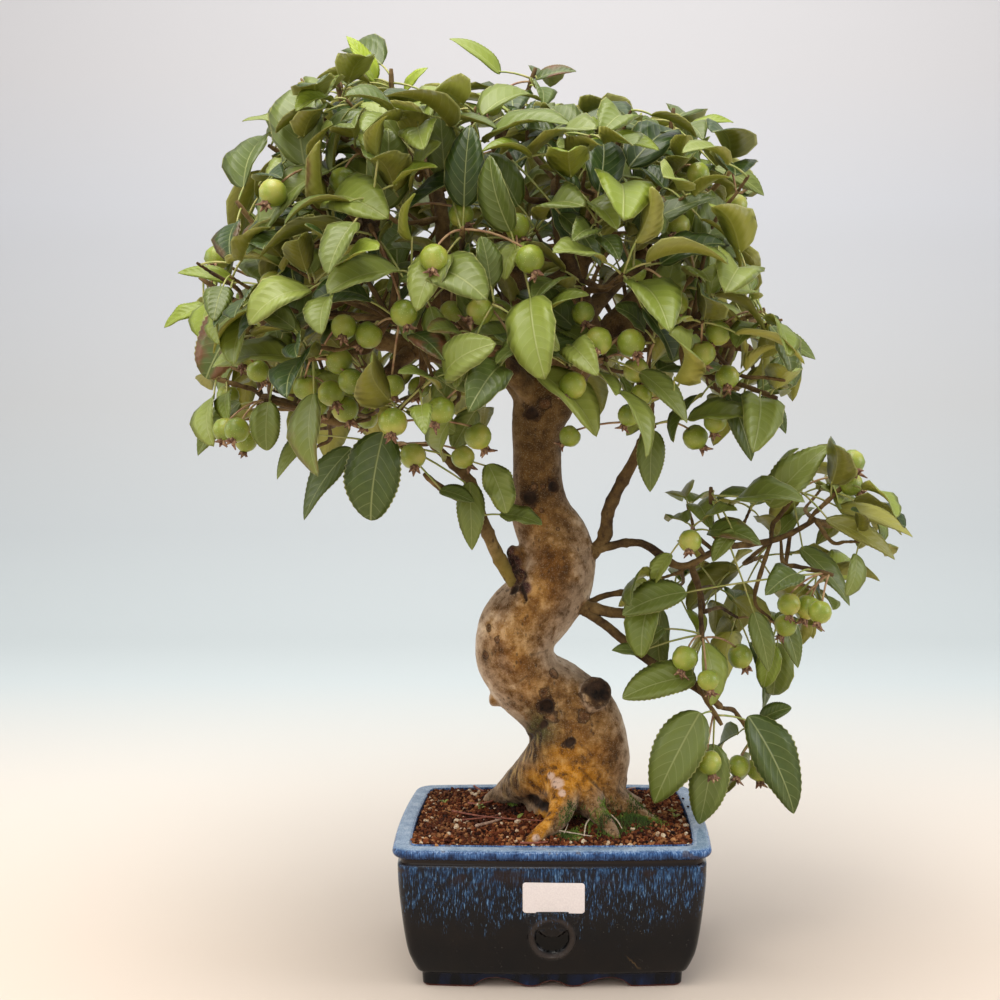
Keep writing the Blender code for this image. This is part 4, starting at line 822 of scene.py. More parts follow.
def thick_wood():
    """The middle line and radii of everything that is fused with the trunk: the trunk, the roots, the
    stubs and the collars of the limbs. Each comes as a name, a line and its radii."""
    points = [POT_AT + np.array(TRUNK_FOOT)] + [seen(u, v, depth) for u, v, depth, _ in TRUNK]
    radii = np.array([FOOT_RADIUS] + [diameter / 2 for *_, diameter in TRUNK])[:, None]
    lines = [("trunk", smooth_line(points, TRUNK_STEPS), smooth_line(radii, TRUNK_STEPS)[:, 0])]
    for places in ROOTS:
        points = [seen(u, v, depth) for u, v, depth, _ in places]
        points.append(points[-1] + (points[-1] - points[-2]) * 0.15 - np.array((0, 0, ROOT_DIVE)))
        radii = np.array([radius for *_, radius in places] + [ROOT_END])[:, None]
        lines.append(("root", smooth_line(points, ROOT_STEPS), smooth_line(radii, ROOT_STEPS)[:, 0]))
    for inner, outer, radius in STUBS:
        share = np.linspace(0, 1, 14)[:, None]
        line = seen(*inner) * (1 - share) + seen(*outer) * share
        rounded = np.sqrt(np.clip(1 - np.clip(share[:, 0] - 0.8, 0, 1) ** 2 * 12, 0.2, 1))
        lines.append(("stub", line, radius * (1.25 - 0.25 * share[:, 0]) * rounded))
    for name, (line, radii) in limb_paths().items():
        fine = smooth_line(line, 12 * len(line))
        wide = spread(radii, len(fine))
        travelled = travel(fine)
        near = travelled < COLLAR_REACH * np.clip(200 * radii[0] - 0.4, 0.35, 1.4)
        swell = 1 + 0.30 * np.exp(-(travelled[near] / (0.6 * COLLAR_REACH)) ** 2)
        ease = np.clip((travelled[near][-1] - travelled[near]) / 0.008, 0.0, 1.0)
        lines.append(("collar", fine[near], wide[near] * (swell * ease ** 0.5 + 0.80 * (1 - ease ** 0.5))))
    return lines


def limb_paths():
    """Every limb as its middle line, given by pixel and depth, with a radius at each point."""
    return {name: (seen(*np.array(places).T), np.linspace(thick, thin, len(places)))
            for name, (thick, thin, places) in LIMBS.items()}


def along_lines(points, lines):
    """For each point the line whose skin is nearest: distance to its middle line less its radius there.
    Gives the line's number, how far along it lies, the radius there and the nearest spot on the line."""
    samples = np.vstack([line for _, line, _ in lines])
    radii = np.concatenate([wide for *_, wide in lines])
    owner = np.concatenate([np.full(len(line), k) for k, (_, line, _) in enumerate(lines)])
    travelled = np.concatenate([travel(line) for _, line, _ in lines])
    nearest = np.empty(len(points), int)
    for start in range(0, len(points), 4000):
        gaps = np.linalg.norm(points[start:start + 4000, None].astype(np.float32)
                              - samples[None].astype(np.float32), axis=2) - radii[None]
        nearest[start:start + 4000] = np.argmin(gaps, axis=1)
    return owner[nearest], travelled[nearest], radii[nearest], samples[nearest]


def bark_relief(points, lines):
    """How far the bark stands out at each point: soft swellings 25 mm wide, long ridges that follow the
    grain, about 5 mm wide and 30 mm long, and fine roughness. Rough on the trunk's foot and the roots.
    Also gives how near the foot each point lies, and whether it belongs to a limb."""
    owner, travelled, radius, middle = along_lines(points, lines)
    across = points - middle
    grain = np.column_stack((across, travelled * 0.16 + owner * 7.0))
    stretched = grain[:, :3] * 190 + np.stack((grain[:, 3] * 150, grain[:, 3] * 90, grain[:, 3] * 210), -1)
    low = np.clip((0.150 - points[:, 2]) / 0.035, 0.0, 1.0)
    thickness = np.clip(radius / 0.025, 0.12, 1.0)
    relief = (0.0009 * value_noise(points * 42, 1) + 0.0007 * (0.35 + 1.6 * low) * value_noise(stretched, 2)
              + 0.00034 * (0.5 + 1.5 * low) * value_noise(points * 340, 3)
              + 0.00110 * low * value_noise(points * 140, 4))
    on_limb = np.array([name == "collar" for name, _, _ in lines])[owner]
    return relief * thickness, low, on_limb


def hit_from_view(tree, u, v):
    """Where the ray of a pixel first meets the wood, and the wood's outward way there."""
    eye = VIEW_EYE + POT_AT
    ray = seen(u, v, 0.0) - eye
    spot, way, _, _ = tree.ray_cast(Vector(eye), Vector(ray).normalized())
    return (None, None) if spot is None else (np.array(spot), np.array(way))


def scarred(points, tree):
    """Scars and creases, by pixel: each scar has a swollen rim and a sunk middle, each crease is a groove
    along a line. Gives how far they push every point out, how much painted shade they put on it in the
    sunk middles of deep scars and along the grooves, and how far it lies from the middle of the nearest
    scar, as a share of that scar's radius."""
    push = np.zeros(len(points))
    dark = np.zeros(len(points))
    scar = np.full(len(points), 3.0)
    for u, v, size, rim, dip in SCARS:
        spot, _ = hit_from_view(tree, u, v)
        if spot is None:
            continue
        radius = size / VIEW_FOCAL * (spot[1] - POT_AT[1] - VIEW_EYE[1])
        off = np.linalg.norm(points - spot, axis=1) / radius
        off = off * (1 + 0.34 * value_noise(points * 240, int(u)))
        push += 0.001 * (rim * np.exp(-((off - 1.0) / 0.33) ** 2) - dip * np.exp(-(off / 0.72) ** 4))
        scar = np.minimum(scar, off)
        if dip > 1.15:
            dark = np.maximum(dark, np.exp(-(off / 0.90) ** 4))
    for start, end, half, deep in CREASES:
        ends = [hit_from_view(tree, *pixel)[0] for pixel in (start, end)]
        if ends[0] is None or ends[1] is None:
            continue
        reach = ends[1] - ends[0]
        share = np.clip((points - ends[0]) @ reach / reach.dot(reach), 0, 1)
        off = np.linalg.norm(points - (ends[0] + share[:, None] * reach), axis=1)
        off = off * (1 + 0.3 * value_noise(points * 300, 9)) / (half / VIEW_FOCAL * 0.95)
        push -= 0.001 * deep * np.exp(-off ** 2)
        dark = np.maximum(dark, min(0.22 + 0.38 * deep, 0.85) * np.exp(-(off / 1.1) ** 2))
    return push, dark, scar


def spots_in_view(points, spots):
    """How much each point on the near side lies in one of the spots: e to the minus squared distance in
    the view over the squared reach, for the spot where that is most."""
    u, v, depth = shown(points)
    shares = [np.exp(-((u - a) ** 2 + (v - b) ** 2) / reach ** 2) for a, b, reach in spots]
    return np.max(shares, axis=0) * (depth < 0.012)


def soft_oval(u, v, middle, half, most):
    """most, times e to the minus squared distance from the middle pixel, in shares of the half widths."""
    return most * np.exp(-((u - middle[0]) / half[0]) ** 2 - ((v - middle[1]) / half[1]) ** 2)


def set_values(item, **values):
    """Store one number per point on a piece, for its finish to read."""
    for name, numbers in values.items():
        stored = item.data.attributes.new(name, "FLOAT", "POINT")
        stored.data.foreach_set("value", np.asarray(numbers, np.float32))


def points_of(item):
    points = np.empty(len(item.data.vertices) * 3)
    item.data.vertices.foreach_get("co", points)
    return points.reshape(-1, 3)


def faces_of(item):
    return [tuple(face.vertices) for face in item.data.polygons]


def search_tree(points, faces):
    """A tree that finds what a ray, a point or another tree meets of these faces."""
    return BVHTree.FromPolygons([Vector(point) for point in points], faces)


def ways_of(item):
    ways = np.empty(len(item.data.vertices) * 3)
    item.data.vertices.foreach_get("normal", ways)
    return ways.reshape(-1, 3)


def old_wood(finish):
    """Trunk, roots, stubs and collars: their skins are fused by a fine voxel grid and smoothed, then every
    point is moved along its outward way by the bark's relief and the scars."""
    lines = thick_wood()
    base_share = BASE_REACH / (TRUNK_RINGS - 1)
    shapes = []
    for name, line, radii in lines:
        if name == "trunk":
            along = np.linspace(0, 1, len(line))
            flat = np.interp(along, (0, base_share), (BASE_DEPTH, 1.0))
            shapes.append(tube(line, radii, TRUNK_AROUND, trunk_swell(line), flat))
        else:
            shapes.append(tube(line, radii, ROOT_AROUND))
    wood = piece_of("trunk_and_roots", *joined(shapes), finish)
    fused = wood.modifiers.new("fuse", "REMESH")
    fused.mode = "VOXEL"
    fused.voxel_size = VOXEL
    eased = wood.modifiers.new("ease", "SMOOTH")
    eased.factor = 0.5
    eased.iterations = 7
    settle(wood)
    points, ways = points_of(wood), ways_of(wood)
    tree = search_tree(points, faces_of(wood))
    relief, low, on_limb = bark_relief(points, lines)
    # dark is painted shade: it darkens the sunk middles of deep scars and the creases.
    push, dark, scar = scarred(points, tree)
    points += ways * (relief + push)[:, None]
    wood.data.vertices.foreach_set("co", points.ravel())
    wood.data.update()
    u, v, depth = shown(points)
    # Painted sheen: where the bark turns away from the view, seen side-on, it is painted paler.
    bleached = np.clip(1.55 - 1.6 * np.abs(ways @ unit(VIEW_EYE + POT_AT - points.mean(axis=0))), 0, 1)
    flange = soft_oval(u, v, *WARM_FLANGE)
    band = soft_oval(u, v, *WARM_BAND)
    down = np.clip((v - 793) / 48, 0, 1)
    root = 1.5 * np.exp(-((u - 558 + 27 * down) / 10) ** 4) * (v > 790)
    warm = np.clip(np.maximum(np.maximum(flange, band), root), 0, 1) * (depth < 0.0)
    olive = soft_oval(u, v, *OLIVE_HOLLOW) * (depth < 0.01)
    olive = np.maximum(olive, soft_oval(u, v, *OLIVE_COLLAR) * on_limb)
    rough = np.maximum(low, 1.4 * spots_in_view(points, ROUGH_SPOTS))
    # upper is painted shade: the trunk darkens towards the crown, which shades it.
    set_values(wood, warm=warm, dark=dark, olive=olive, rough=rough, scar=scar,
               tan=spots_in_view(points, TAN_SPOTS), pale=spots_in_view(points, PALE_SPOTS),
               upper=np.clip((575 - v) / 150, 0, 1), dead=spots_in_view(points, DEAD_SPOTS),
               fibre=spots_in_view(points, FIBRE_SPOTS), bleached=bleached,
               young=on_limb * (v < 620) * (u < 700) * np.where(v > 430, 1.0, 0.6))
    wood.data.polygons.foreach_set("use_smooth", np.ones(len(wood.data.polygons), bool))
    return wood


def limb_bumps(travelled, seed):
    """How a limb's radius changes along it: a soft ring, 2 to 3 mm long, at each old bud."""
    draw = random.Random(seed)
    swell = np.ones(len(travelled))
    at = draw.uniform(0.004, 0.016)
    while at < travelled[-1]:
        swell += draw.uniform(0.06, 0.26) * np.exp(-((travelled - at) / draw.uniform(0.0014, 0.0030)) ** 2)
        at += draw.uniform(0.008, 0.030)
    return swell


def young_wood(finish, twigs):
    """The limbs and the twigs that carry the shoots, each a tube with rings of old buds and a bark that
    is a little uneven. Every twig comes as its line and its two end radii."""
    shapes, young, number = [], [], 0
    for line, radii in limb_paths().values():
        rough = smooth_line(line, 40)
        length = np.linalg.norm(np.diff(rough, axis=0), axis=1).sum()
        fine = smooth_line(line, int(length / LIMB_STEP))
        travelled = np.linspace(0, length, len(fine))
        wide = spread(radii, len(fine))
        wide = wide * limb_bumps(travelled, 40 + number)
        wide[-2:] *= (0.85, 0.55)
        shapes.append(tube(fine, wide, LIMB_AROUND))
        young.append(np.full(len(shapes[-1][0]), 1 - np.clip((wide.mean() - 0.004) / 0.008, 0, 0.8)))
        number += 1
    for line, first, last in twigs:
        fine = smooth_line(line, TWIG_STEPS)
        length = np.linalg.norm(np.diff(fine, axis=0), axis=1).sum()
        bumps = limb_bumps(np.linspace(0, length, TWIG_STEPS), 90 + number)
        shapes.append(tube(fine, np.linspace(first, last, TWIG_STEPS) * bumps, TWIG_AROUND))
        young.append(np.ones(len(shapes[-1][0])))
        number += 1
    points, faces = joined(shapes)
    wood = piece_of("limbs_and_twigs", points, faces, finish)
    relief = 0.00035 * value_noise(points * 150, 5) + 0.00022 * value_noise(points * 420, 6)
    points = points + ways_of(wood) * relief[:, None]
    wood.data.vertices.foreach_set("co", points.ravel())
    wood.data.update()
    young = np.concatenate(young)
    u, v, _ = shown(points)
    none = np.zeros(len(points))
    # The limbs get the full painted shade of the crown (upper is 1) and none of the painted edge sheen.
    set_values(wood, warm=none, dark=none, rough=none, tan=none, pale=none, scar=none + 3.0,
               upper=none + 1.0, dead=none, fibre=none, bleached=none,
               olive=soft_oval(u, v, *OLIVE_LIMB), young=young)
    return wood


def bark():
    """Bark: beige brown with tan patches and fine speckles, orange where the piece's warm value is high,
    olive where its olive is, reddish dark where the wood is dead, drawn into fibres at the left root, with
    a thin dark line round old scars and plain brown on young wood. Painted shade darkens it towards the
    crown and turns the sunk scar middles and creases black brown, and a painted pale sheen lies where it
    is seen side-on."""
    made, tree, shader = new_finish("bark", Roughness=0.72, Specular_IOR_Level=0.16, Sheen_Weight=0.04,
                                    Sheen_Roughness=0.55)
    place = add(tree, "TexCoord", result=3)
    names = "warm dark olive rough young tan pale upper scar dead fibre bleached".split()
    warm, dark, olive, rough, young, tanned, pale, upper, scar, dead, fibre, bleached = (
        stored(tree, name) for name in names)
    broad = noise(place, 38.0, 4.0, 0.6)
    patch = noise(place, 16.0, 3.0, 0.55)
    fine = noise(place, 420.0, 4.0, 0.7)
    middling = noise(place, 130.0, 5.0, 0.65)
    mixed = broad * 0.6 + middling * 0.4
    base = ramp(mixed, (0.32, "#37230e"), (0.46, "#624320"), (0.55, "#8c683a"), (0.65, "#c9a677"))
    tan = ramp(mixed, (0.36, "#3d2208"), (0.5, "#794c17"), (0.64, "#b88a48"))
    patched = rise_between(patch, 0.42, 0.66) * 0.3
    shade = blend(maths("MAXIMUM", tanned, patched) * 0.85, base, tan)
    # Painted shade: towards the crown the bark turns a darker olive brown.
    shade = blend(upper * 0.9, shade, blend(rise_between(mixed, 0.38, 0.62), "#33240f", "#6b5029"))
    # Painted sheen: where the bark is seen side-on it turns pale beige, less so under the crown.
    light = ramp(mixed, (0.36, "#927a60"), (0.5, "#bba48b"), (0.64, "#dccdbb"))
    light_share = bleached * (0.9 - upper * 0.85)
    light_share = light_share * rise_between(middling + bleached * 0.25, 0.46, 0.66)
    shade = blend(light_share, shade, light)
    earthy = ramp(middling, (0.36, "#33210f"), (0.52, "#6d4e2c"), (0.66, "#9b7c50"))
    shade = blend(rough * 0.55, shade, earthy)
    orange = ramp(middling, (0.34, "#42240a"), (0.44, "#96600f"), (0.54, "#bd7f1c"), (0.7, "#d8a552"))
    shade = blend(warm, shade, orange)
    shade = blend(rise_between(pale + (middling - 0.5) * 1.2, 0.4, 0.75), shade, "#cfae98")
    moss = ramp(middling, (0.38, "#25230f"), (0.6, "#5c562a"))
    shade = blend(olive * rise_between(middling, 0.34, 0.48), shade, moss)
    lean = squeezed(place, (1.0, 1.0, 0.16), Rotation=(0.0, math.radians(-38), 0.0))
    strand = noise(lean, 300.0, 4.0, 0.65)
    strands = ramp(strand, (0.4, "#1c1208"), (0.48, "#5f452a"), (0.62, "#a88a56"))
    shade = blend(fibre * 0.9, shade, strands)
    twig = ramp(mixed, (0.38, "#352416"), (0.52, "#66502f"), (0.66, "#8d744a"))
    shade = blend(young, shade, twig)
    shade = blend(olive * young * 0.8, shade, "#8c7b34")
    rotten = ramp(middling, (0.36, "#150b08"), (0.52, "#412520"), (0.66, "#6d4a3e"))
    shade = blend(rise_between(dead, 0.25, 0.55) * (1.0 - young), shade, rotten)
    drawn = squeezed(place, (1.0, 1.0, 0.55))
    spots = add(tree, "TexVoronoi", Vector=drawn, Scale=260.0)
    spots = rise_between(spots, 0.3, 0.16) * rise_between(noise(place, 70.0), 0.5, 0.6)
    shade = blend(spots * 0.65, shade, "#3b2b1b")
    crack = noise(squeezed(place, (1.0, 1.0, 0.4)), 240.0, 4.0, 0.6)
    crack = rise_between(crack, 0.45, 0.37) * (rough * (1.0 - warm * 0.35))
    shade = blend(crack * 0.75, shade, "#2a1c10")
    ringed = scar + (middling - 0.5) * 2.4
    healed = ramp(middling, (0.36, "#382114"), (0.64, "#86603f"))
    shade = blend(rise_between(ringed, 1.05, 0.6) * 0.78, shade, healed)
    line = rise_between(abs(ringed - 0.95), 0.3, 0.06)
    shade = blend(line * 0.72, shade, "#2b1a0b")
    dust = noise(place, 1050.0, 2.0, 0.6)
    shade = blend(rise_between(dust, 0.55, 0.68) * (0.17 - young * 0.15), shade, "#dccdb0")
    pitted = rise_between(fine, 0.43, 0.3)
    shade = blend(pitted * 0.6, shade, "#3f2a14")
    # Painted shade: black brown in the sunk middles of deep scars and in the creases.
    deep = blend(rise_between(middling, 0.35, 0.65), "#120c08", "#3e2c1f")
    shade = blend(rise_between(dark + (middling - 0.5) * 0.7, 0.25, 0.65), shade, deep)
    feed(shader, Base_Color=shade)
    wet = warm * rise_between(middling, 0.48, 0.6)
    feed(shader, Roughness=0.74 - wet * 0.42)
    height = fine * 0.4 + middling
    height = height + strand * fibre * 2.0
    height = height - (crack + spots) * 0.5
    feed(shader, Normal=add(tree, "Bump", Height=height, Strength=0.6, Distance=0.0011))
    return made


bark_finish = bark()
wood = old_wood(bark_finish)
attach(wood, "root")
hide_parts("tree_wood")

# The shoots. Each is a short brown spur, 3 cm long, on a twig that grows from a limb. These are where
# the leaves and the fruit stalks grow from. The table gives the main ones, and a seeded draw adds the
# many small ones that fill the crown and the low right-hand branch.
# Leafy shoots: pixel and depth where each begins, and how many leaves it carries
SHOOTS = (
    # round the crown's edge
    (234, 300, 0.000, 5), (262, 236, -0.020, 5), (300, 165, 0.005, 5), (345, 118, -0.015, 5),
    (392, 112, -0.020, 5), (522, 108, 0.000, 5), (572, 150, -0.026, 5), (668, 150, 0.000, 5),
    (706, 196, -0.020, 5), (728, 326, -0.010, 5), (742, 385, -0.030, 5), (640, 408, -0.045, 3),
    (248, 388, -0.018, 5), (302, 408, -0.032, 4),
    # the front
    (300, 300, -0.080, 3), (335, 222, -0.085, 4), (388, 172, -0.090, 3), (458, 172, -0.105, 4),
    (525, 190, -0.105, 3), (592, 212, -0.100, 4), (352, 352, -0.100, 3), (388, 262, -0.118, 3),
    (462, 252, -0.125, 3), (535, 278, -0.125, 3), (612, 285, -0.115, 3), (672, 300, -0.095, 4),
    (408, 400, -0.105, 3), (508, 350, -0.118, 4), (592, 350, -0.110, 3), (700, 372, -0.070, 4),
    # the back
    (300, 300, 0.085, 6), (420, 150, 0.085, 6), (520, 150, 0.090, 6), (610, 190, 0.090, 6),
    (680, 250, 0.080, 6), (400, 265, 0.125, 6), (500, 250, 0.135, 5), (600, 285, 0.125, 6),
    (440, 355, 0.105, 5), (560, 350, 0.100, 5), (655, 350, 0.080, 6),
    # the low left branch
    (468, 492, -0.030, 3), (426, 444, -0.030, 4),
    # the right-hand branch
    (712, 524, -0.020, 4), (778, 518, 0.000, 4), (818, 510, -0.004, 4), (795, 566, -0.022, 4),
    (700, 604, -0.022, 4), (700, 690, -0.030, 3), (738, 716, -0.012, 4), (752, 560, 0.045, 5),
    # more at the crown's back and far sides
    (330, 180, 0.085, 5), (262, 340, 0.060, 5), (735, 330, 0.060, 5), (715, 230, 0.045, 5),
    (350, 375, 0.080, 5))
CROWN_CORE = (520, 330, 0.005)          # what the crown's shoots point away from
BRANCH_CORE = (700, 560, 0.000)         # and those of the right-hand branch
BRANCH_SHOOTS = (44, 51)                # the first and last shoot of the right-hand branch
SHOOT_LENGTH = 0.030
SHOOT_RADIUS = 0.0019
# Outlines of the crown and of the right-hand branch's leaves, in pixels, and how deep each mass is
CROWN_OUTLINE = (
    (172, 326), (205, 312), (196, 300), (226, 290), (184, 272), (218, 262), (222, 240), (240, 222),
    (264, 212), (276, 198), (252, 182), (280, 164), (272, 142), (250, 122), (284, 108), (290, 76),
    (318, 70), (342, 80), (346, 42), (368, 54), (376, 82), (400, 90), (424, 70), (430, 92), (452, 88),
    (456, 106), (478, 106), (496, 94), (514, 102), (524, 84), (540, 78), (560, 74), (568, 112),
    (584, 122), (604, 102), (640, 112), (654, 136), (668, 128), (672, 110), (692, 112), (730, 116),
    (716, 136), (712, 158), (740, 172), (764, 196), (724, 206), (742, 236), (748, 300), (722, 292),
    (724, 314), (768, 326), (816, 352), (794, 372), (798, 396), (774, 404), (790, 430), (764, 424),
    (754, 462), (734, 428), (716, 442), (694, 430), (668, 448), (652, 490), (636, 446), (604, 446),
    (590, 415), (575, 405), (530, 410), (535, 455), (512, 470), (520, 505), (545, 515), (530, 530),
    (500, 520), (478, 552), (462, 530), (455, 500), (430, 500), (436, 470), (410, 472), (395, 450),
    (372, 520), (350, 505), (350, 455), (302, 520), (318, 440), (300, 425), (276, 478), (282, 425),
    (258, 452), (240, 455), (226, 440), (196, 456), (222, 420), (214, 392), (198, 366), (194, 330))
BRANCH_OUTLINE = (
    (600, 612), (655, 570), (655, 515), (690, 488), (755, 500), (790, 442), (832, 440), (864, 456),
    (918, 536), (900, 560), (856, 607), (824, 630), (804, 672), (770, 676), (796, 704), (818, 745),
    (800, 818), (760, 782), (700, 830), (648, 806), (655, 740), (680, 705), (618, 698), (640, 648),
    (608, 655))
CROWN_DEPTH = 0.190
BRANCH_DEPTH = 0.085
CROWN_SIDE = 0.280                      # no leaf tip lies further to the left or right of the origin
CROWN_MASS = (                          # where the small shoots of the crown begin
    (188, 335), (204, 272), (232, 205), (256, 140), (300, 92), (350, 66), (440, 58), (500, 60), (570, 80),
    (640, 110), (716, 132), (744, 196), (732, 255), (768, 318), (790, 368), (772, 408), (740, 428),
    (690, 420), (655, 398), (605, 402), (582, 372), (520, 372), (470, 412), (420, 424), (370, 440),
    (320, 446), (280, 432), (236, 420), (212, 396))
BRANCH_MASS = (
    (672, 560), (690, 510), (740, 508), (770, 480), (800, 462), (856, 476), (884, 520), (850, 560),
    (812, 592), (780, 622), (700, 628), (672, 600))
CROWN_MIDDLE = (500, 280)               # pixel that the crown's depth is measured round
CROWN_REACH = (330, 250)
CROWN_DEEP = 0.165
CROWN_PLACE = np.array((-0.008, 0.0, 0.545))   # middle and reach of the round body that the crown fills
CROWN_ROUND = np.array((0.245, 0.19, 0.150))
EDGE_WAVE = 0.16                        # nine wide waves round the crown's edge, as a share of its reach
EDGE_RIPPLE = 0.07                      # and 23 small ones round the front half's
SPUR_APART = 0.0225                     # the tips of small shoots are no nearer to one another
SPUR_COUNT = 172
SKY = (                                 # between and above the leaves that stand out at the top, in pixels
    (300, 0), (306, 66), (336, 78), (352, 84), (372, 92), (398, 84), (436, 92), (462, 108), (512, 100),
    (540, 98), (590, 112), (622, 100), (652, 118), (700, 122), (742, 118), (760, 0))
BRANCH_SPURS = 13
SPUR_TRIES = 9000
SPUR_LENGTH = 0.012
SPUR_THIN = 0.62                        # a small shoot's radius, as a share of a main one's


def inside(outline, u, v):
    """Whether a pixel lies inside a closed outline: a line to its right crosses the outline an odd number
    of times."""
    crossings = 0
    for (u0, v0), (u1, v1) in zip(outline, outline[1:] + outline[:1]):
        if (v0 > v) != (v1 > v) and u < u0 + (v - v0) * (u1 - u0) / (v1 - v0):
            crossings += 1
    return crossings % 2 == 1


def nearest_wood(paths, point, core):
    """The limb point that a twig to this place would grow from: near it, and nearer the core."""
    best = None
    for line, radii in paths.values():
        fine = smooth_line(line, 4 * len(line))
        widths = spread(radii, len(fine))
        gaps = np.linalg.norm(fine - point, axis=1)
        outer = np.linalg.norm(fine - core, axis=1) - np.linalg.norm(point - core)
        cost = gaps + np.maximum(outer, -0.01) * 0.8 + np.where(gaps < 0.012, 0.05, 0.0)
        k = int(np.argmin(cost))
        if best is None or cost[k] < best[0]:
            best = (cost[k], fine[k], widths[k])
    return best[1:]


def shoot_at(paths, place, core, leaves, length):
    """A shoot that begins at a place: which way it goes, and the twig line that carries it."""
    root, width = nearest_wood(paths, place, core)
    away = unit(place - root)
    heading = unit(0.55 * away + 0.75 * unit(place - core) + np.array((0, 0, 0.25)))
    span = np.linalg.norm(place - root)
    return {"begin": place, "heading": heading, "leaves": leaves, "length": length,
            "twig": np.array((root, place - heading * 0.35 * span, place)),
            "width": min(width * 0.8, 0.0030)}


def small_shoots(paths, outline, count, first_seed, others, depth_at):
    """Seeded places for small shoots inside an outline, none nearer another than the named distance."""
    taken = [shoot["begin"] + shoot["heading"] * 0.5 * shoot["length"] for shoot in others]
    core = seen(*(CROWN_CORE if outline is CROWN_MASS else BRANCH_CORE))
    draw = random.Random(first_seed)
    made = []
    us, vs = zip(*outline)
    for _ in range(SPUR_TRIES):
        if len(made) == count:
            break
        u, v = draw.uniform(min(us), max(us)), draw.uniform(min(vs), max(vs))
        depth = depth_at(u, v, draw)
        if depth is None or not inside(outline, u, v) or inside(SKY, u, v - 14):
            continue
        place = seen(u, v, depth)
        if min(np.linalg.norm(np.array(taken) - place, axis=1)) < SPUR_APART:
            continue
        taken.append(place)
        made.append(shoot_at(paths, place, core, 4 if draw.random() < 0.5 else 5, SPUR_LENGTH))
    return made


def crown_depth(u, v, draw):
    """A depth in the crown: it reaches furthest in its middle, as an egg does, and more than half of the
    shoots lie in its outer part."""
    across = ((u - CROWN_MIDDLE[0]) / CROWN_REACH[0]) ** 2 + ((v - CROWN_MIDDLE[1]) / CROWN_REACH[1]) ** 2
    if across >= 1.05:
        return None
    most = CROWN_DEEP * math.sqrt(max(1.05 - across, 0.02))
    share = draw.uniform(0.62, 1.0) if draw.random() < 0.58 else draw.uniform(0.0, 0.62)
    return most * share * (-1 if draw.random() < 0.56 else 1)


def branch_depth(u, v, draw):
    """A depth on the right-hand branch, which is as deep everywhere."""
    return draw.uniform(-0.045, 0.050)


def on_main_branch(number):
    """Whether a main shoot, counted from 0, grows on the right-hand branch."""
    return BRANCH_SHOOTS[0] - 1 <= number < BRANCH_SHOOTS[1]


limbs = limb_paths()
main_shoots = [shoot_at(limbs, seen(u, v, depth), seen(*(BRANCH_CORE if on_main_branch(k) else CROWN_CORE)),
                        leaves, SHOOT_LENGTH) for k, (u, v, depth, leaves) in enumerate(SHOOTS)]
crown_spurs = small_shoots(limbs, CROWN_MASS, SPUR_COUNT, 11, main_shoots, crown_depth)
branch_spurs = small_shoots(limbs, BRANCH_MASS, BRANCH_SPURS, 5, main_shoots, branch_depth)
all_shoots = main_shoots + crown_spurs + branch_spurs
twig_lines = [(shoot["twig"], shoot["width"] * 0.75 if k < len(main_shoots) else 0.0017,
               SHOOT_RADIUS if k < len(main_shoots) else 0.0012) for k, shoot in enumerate(all_shoots)]
limb_wood = young_wood(bark_finish, twig_lines)
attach(limb_wood, "root")
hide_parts("tree_wood")

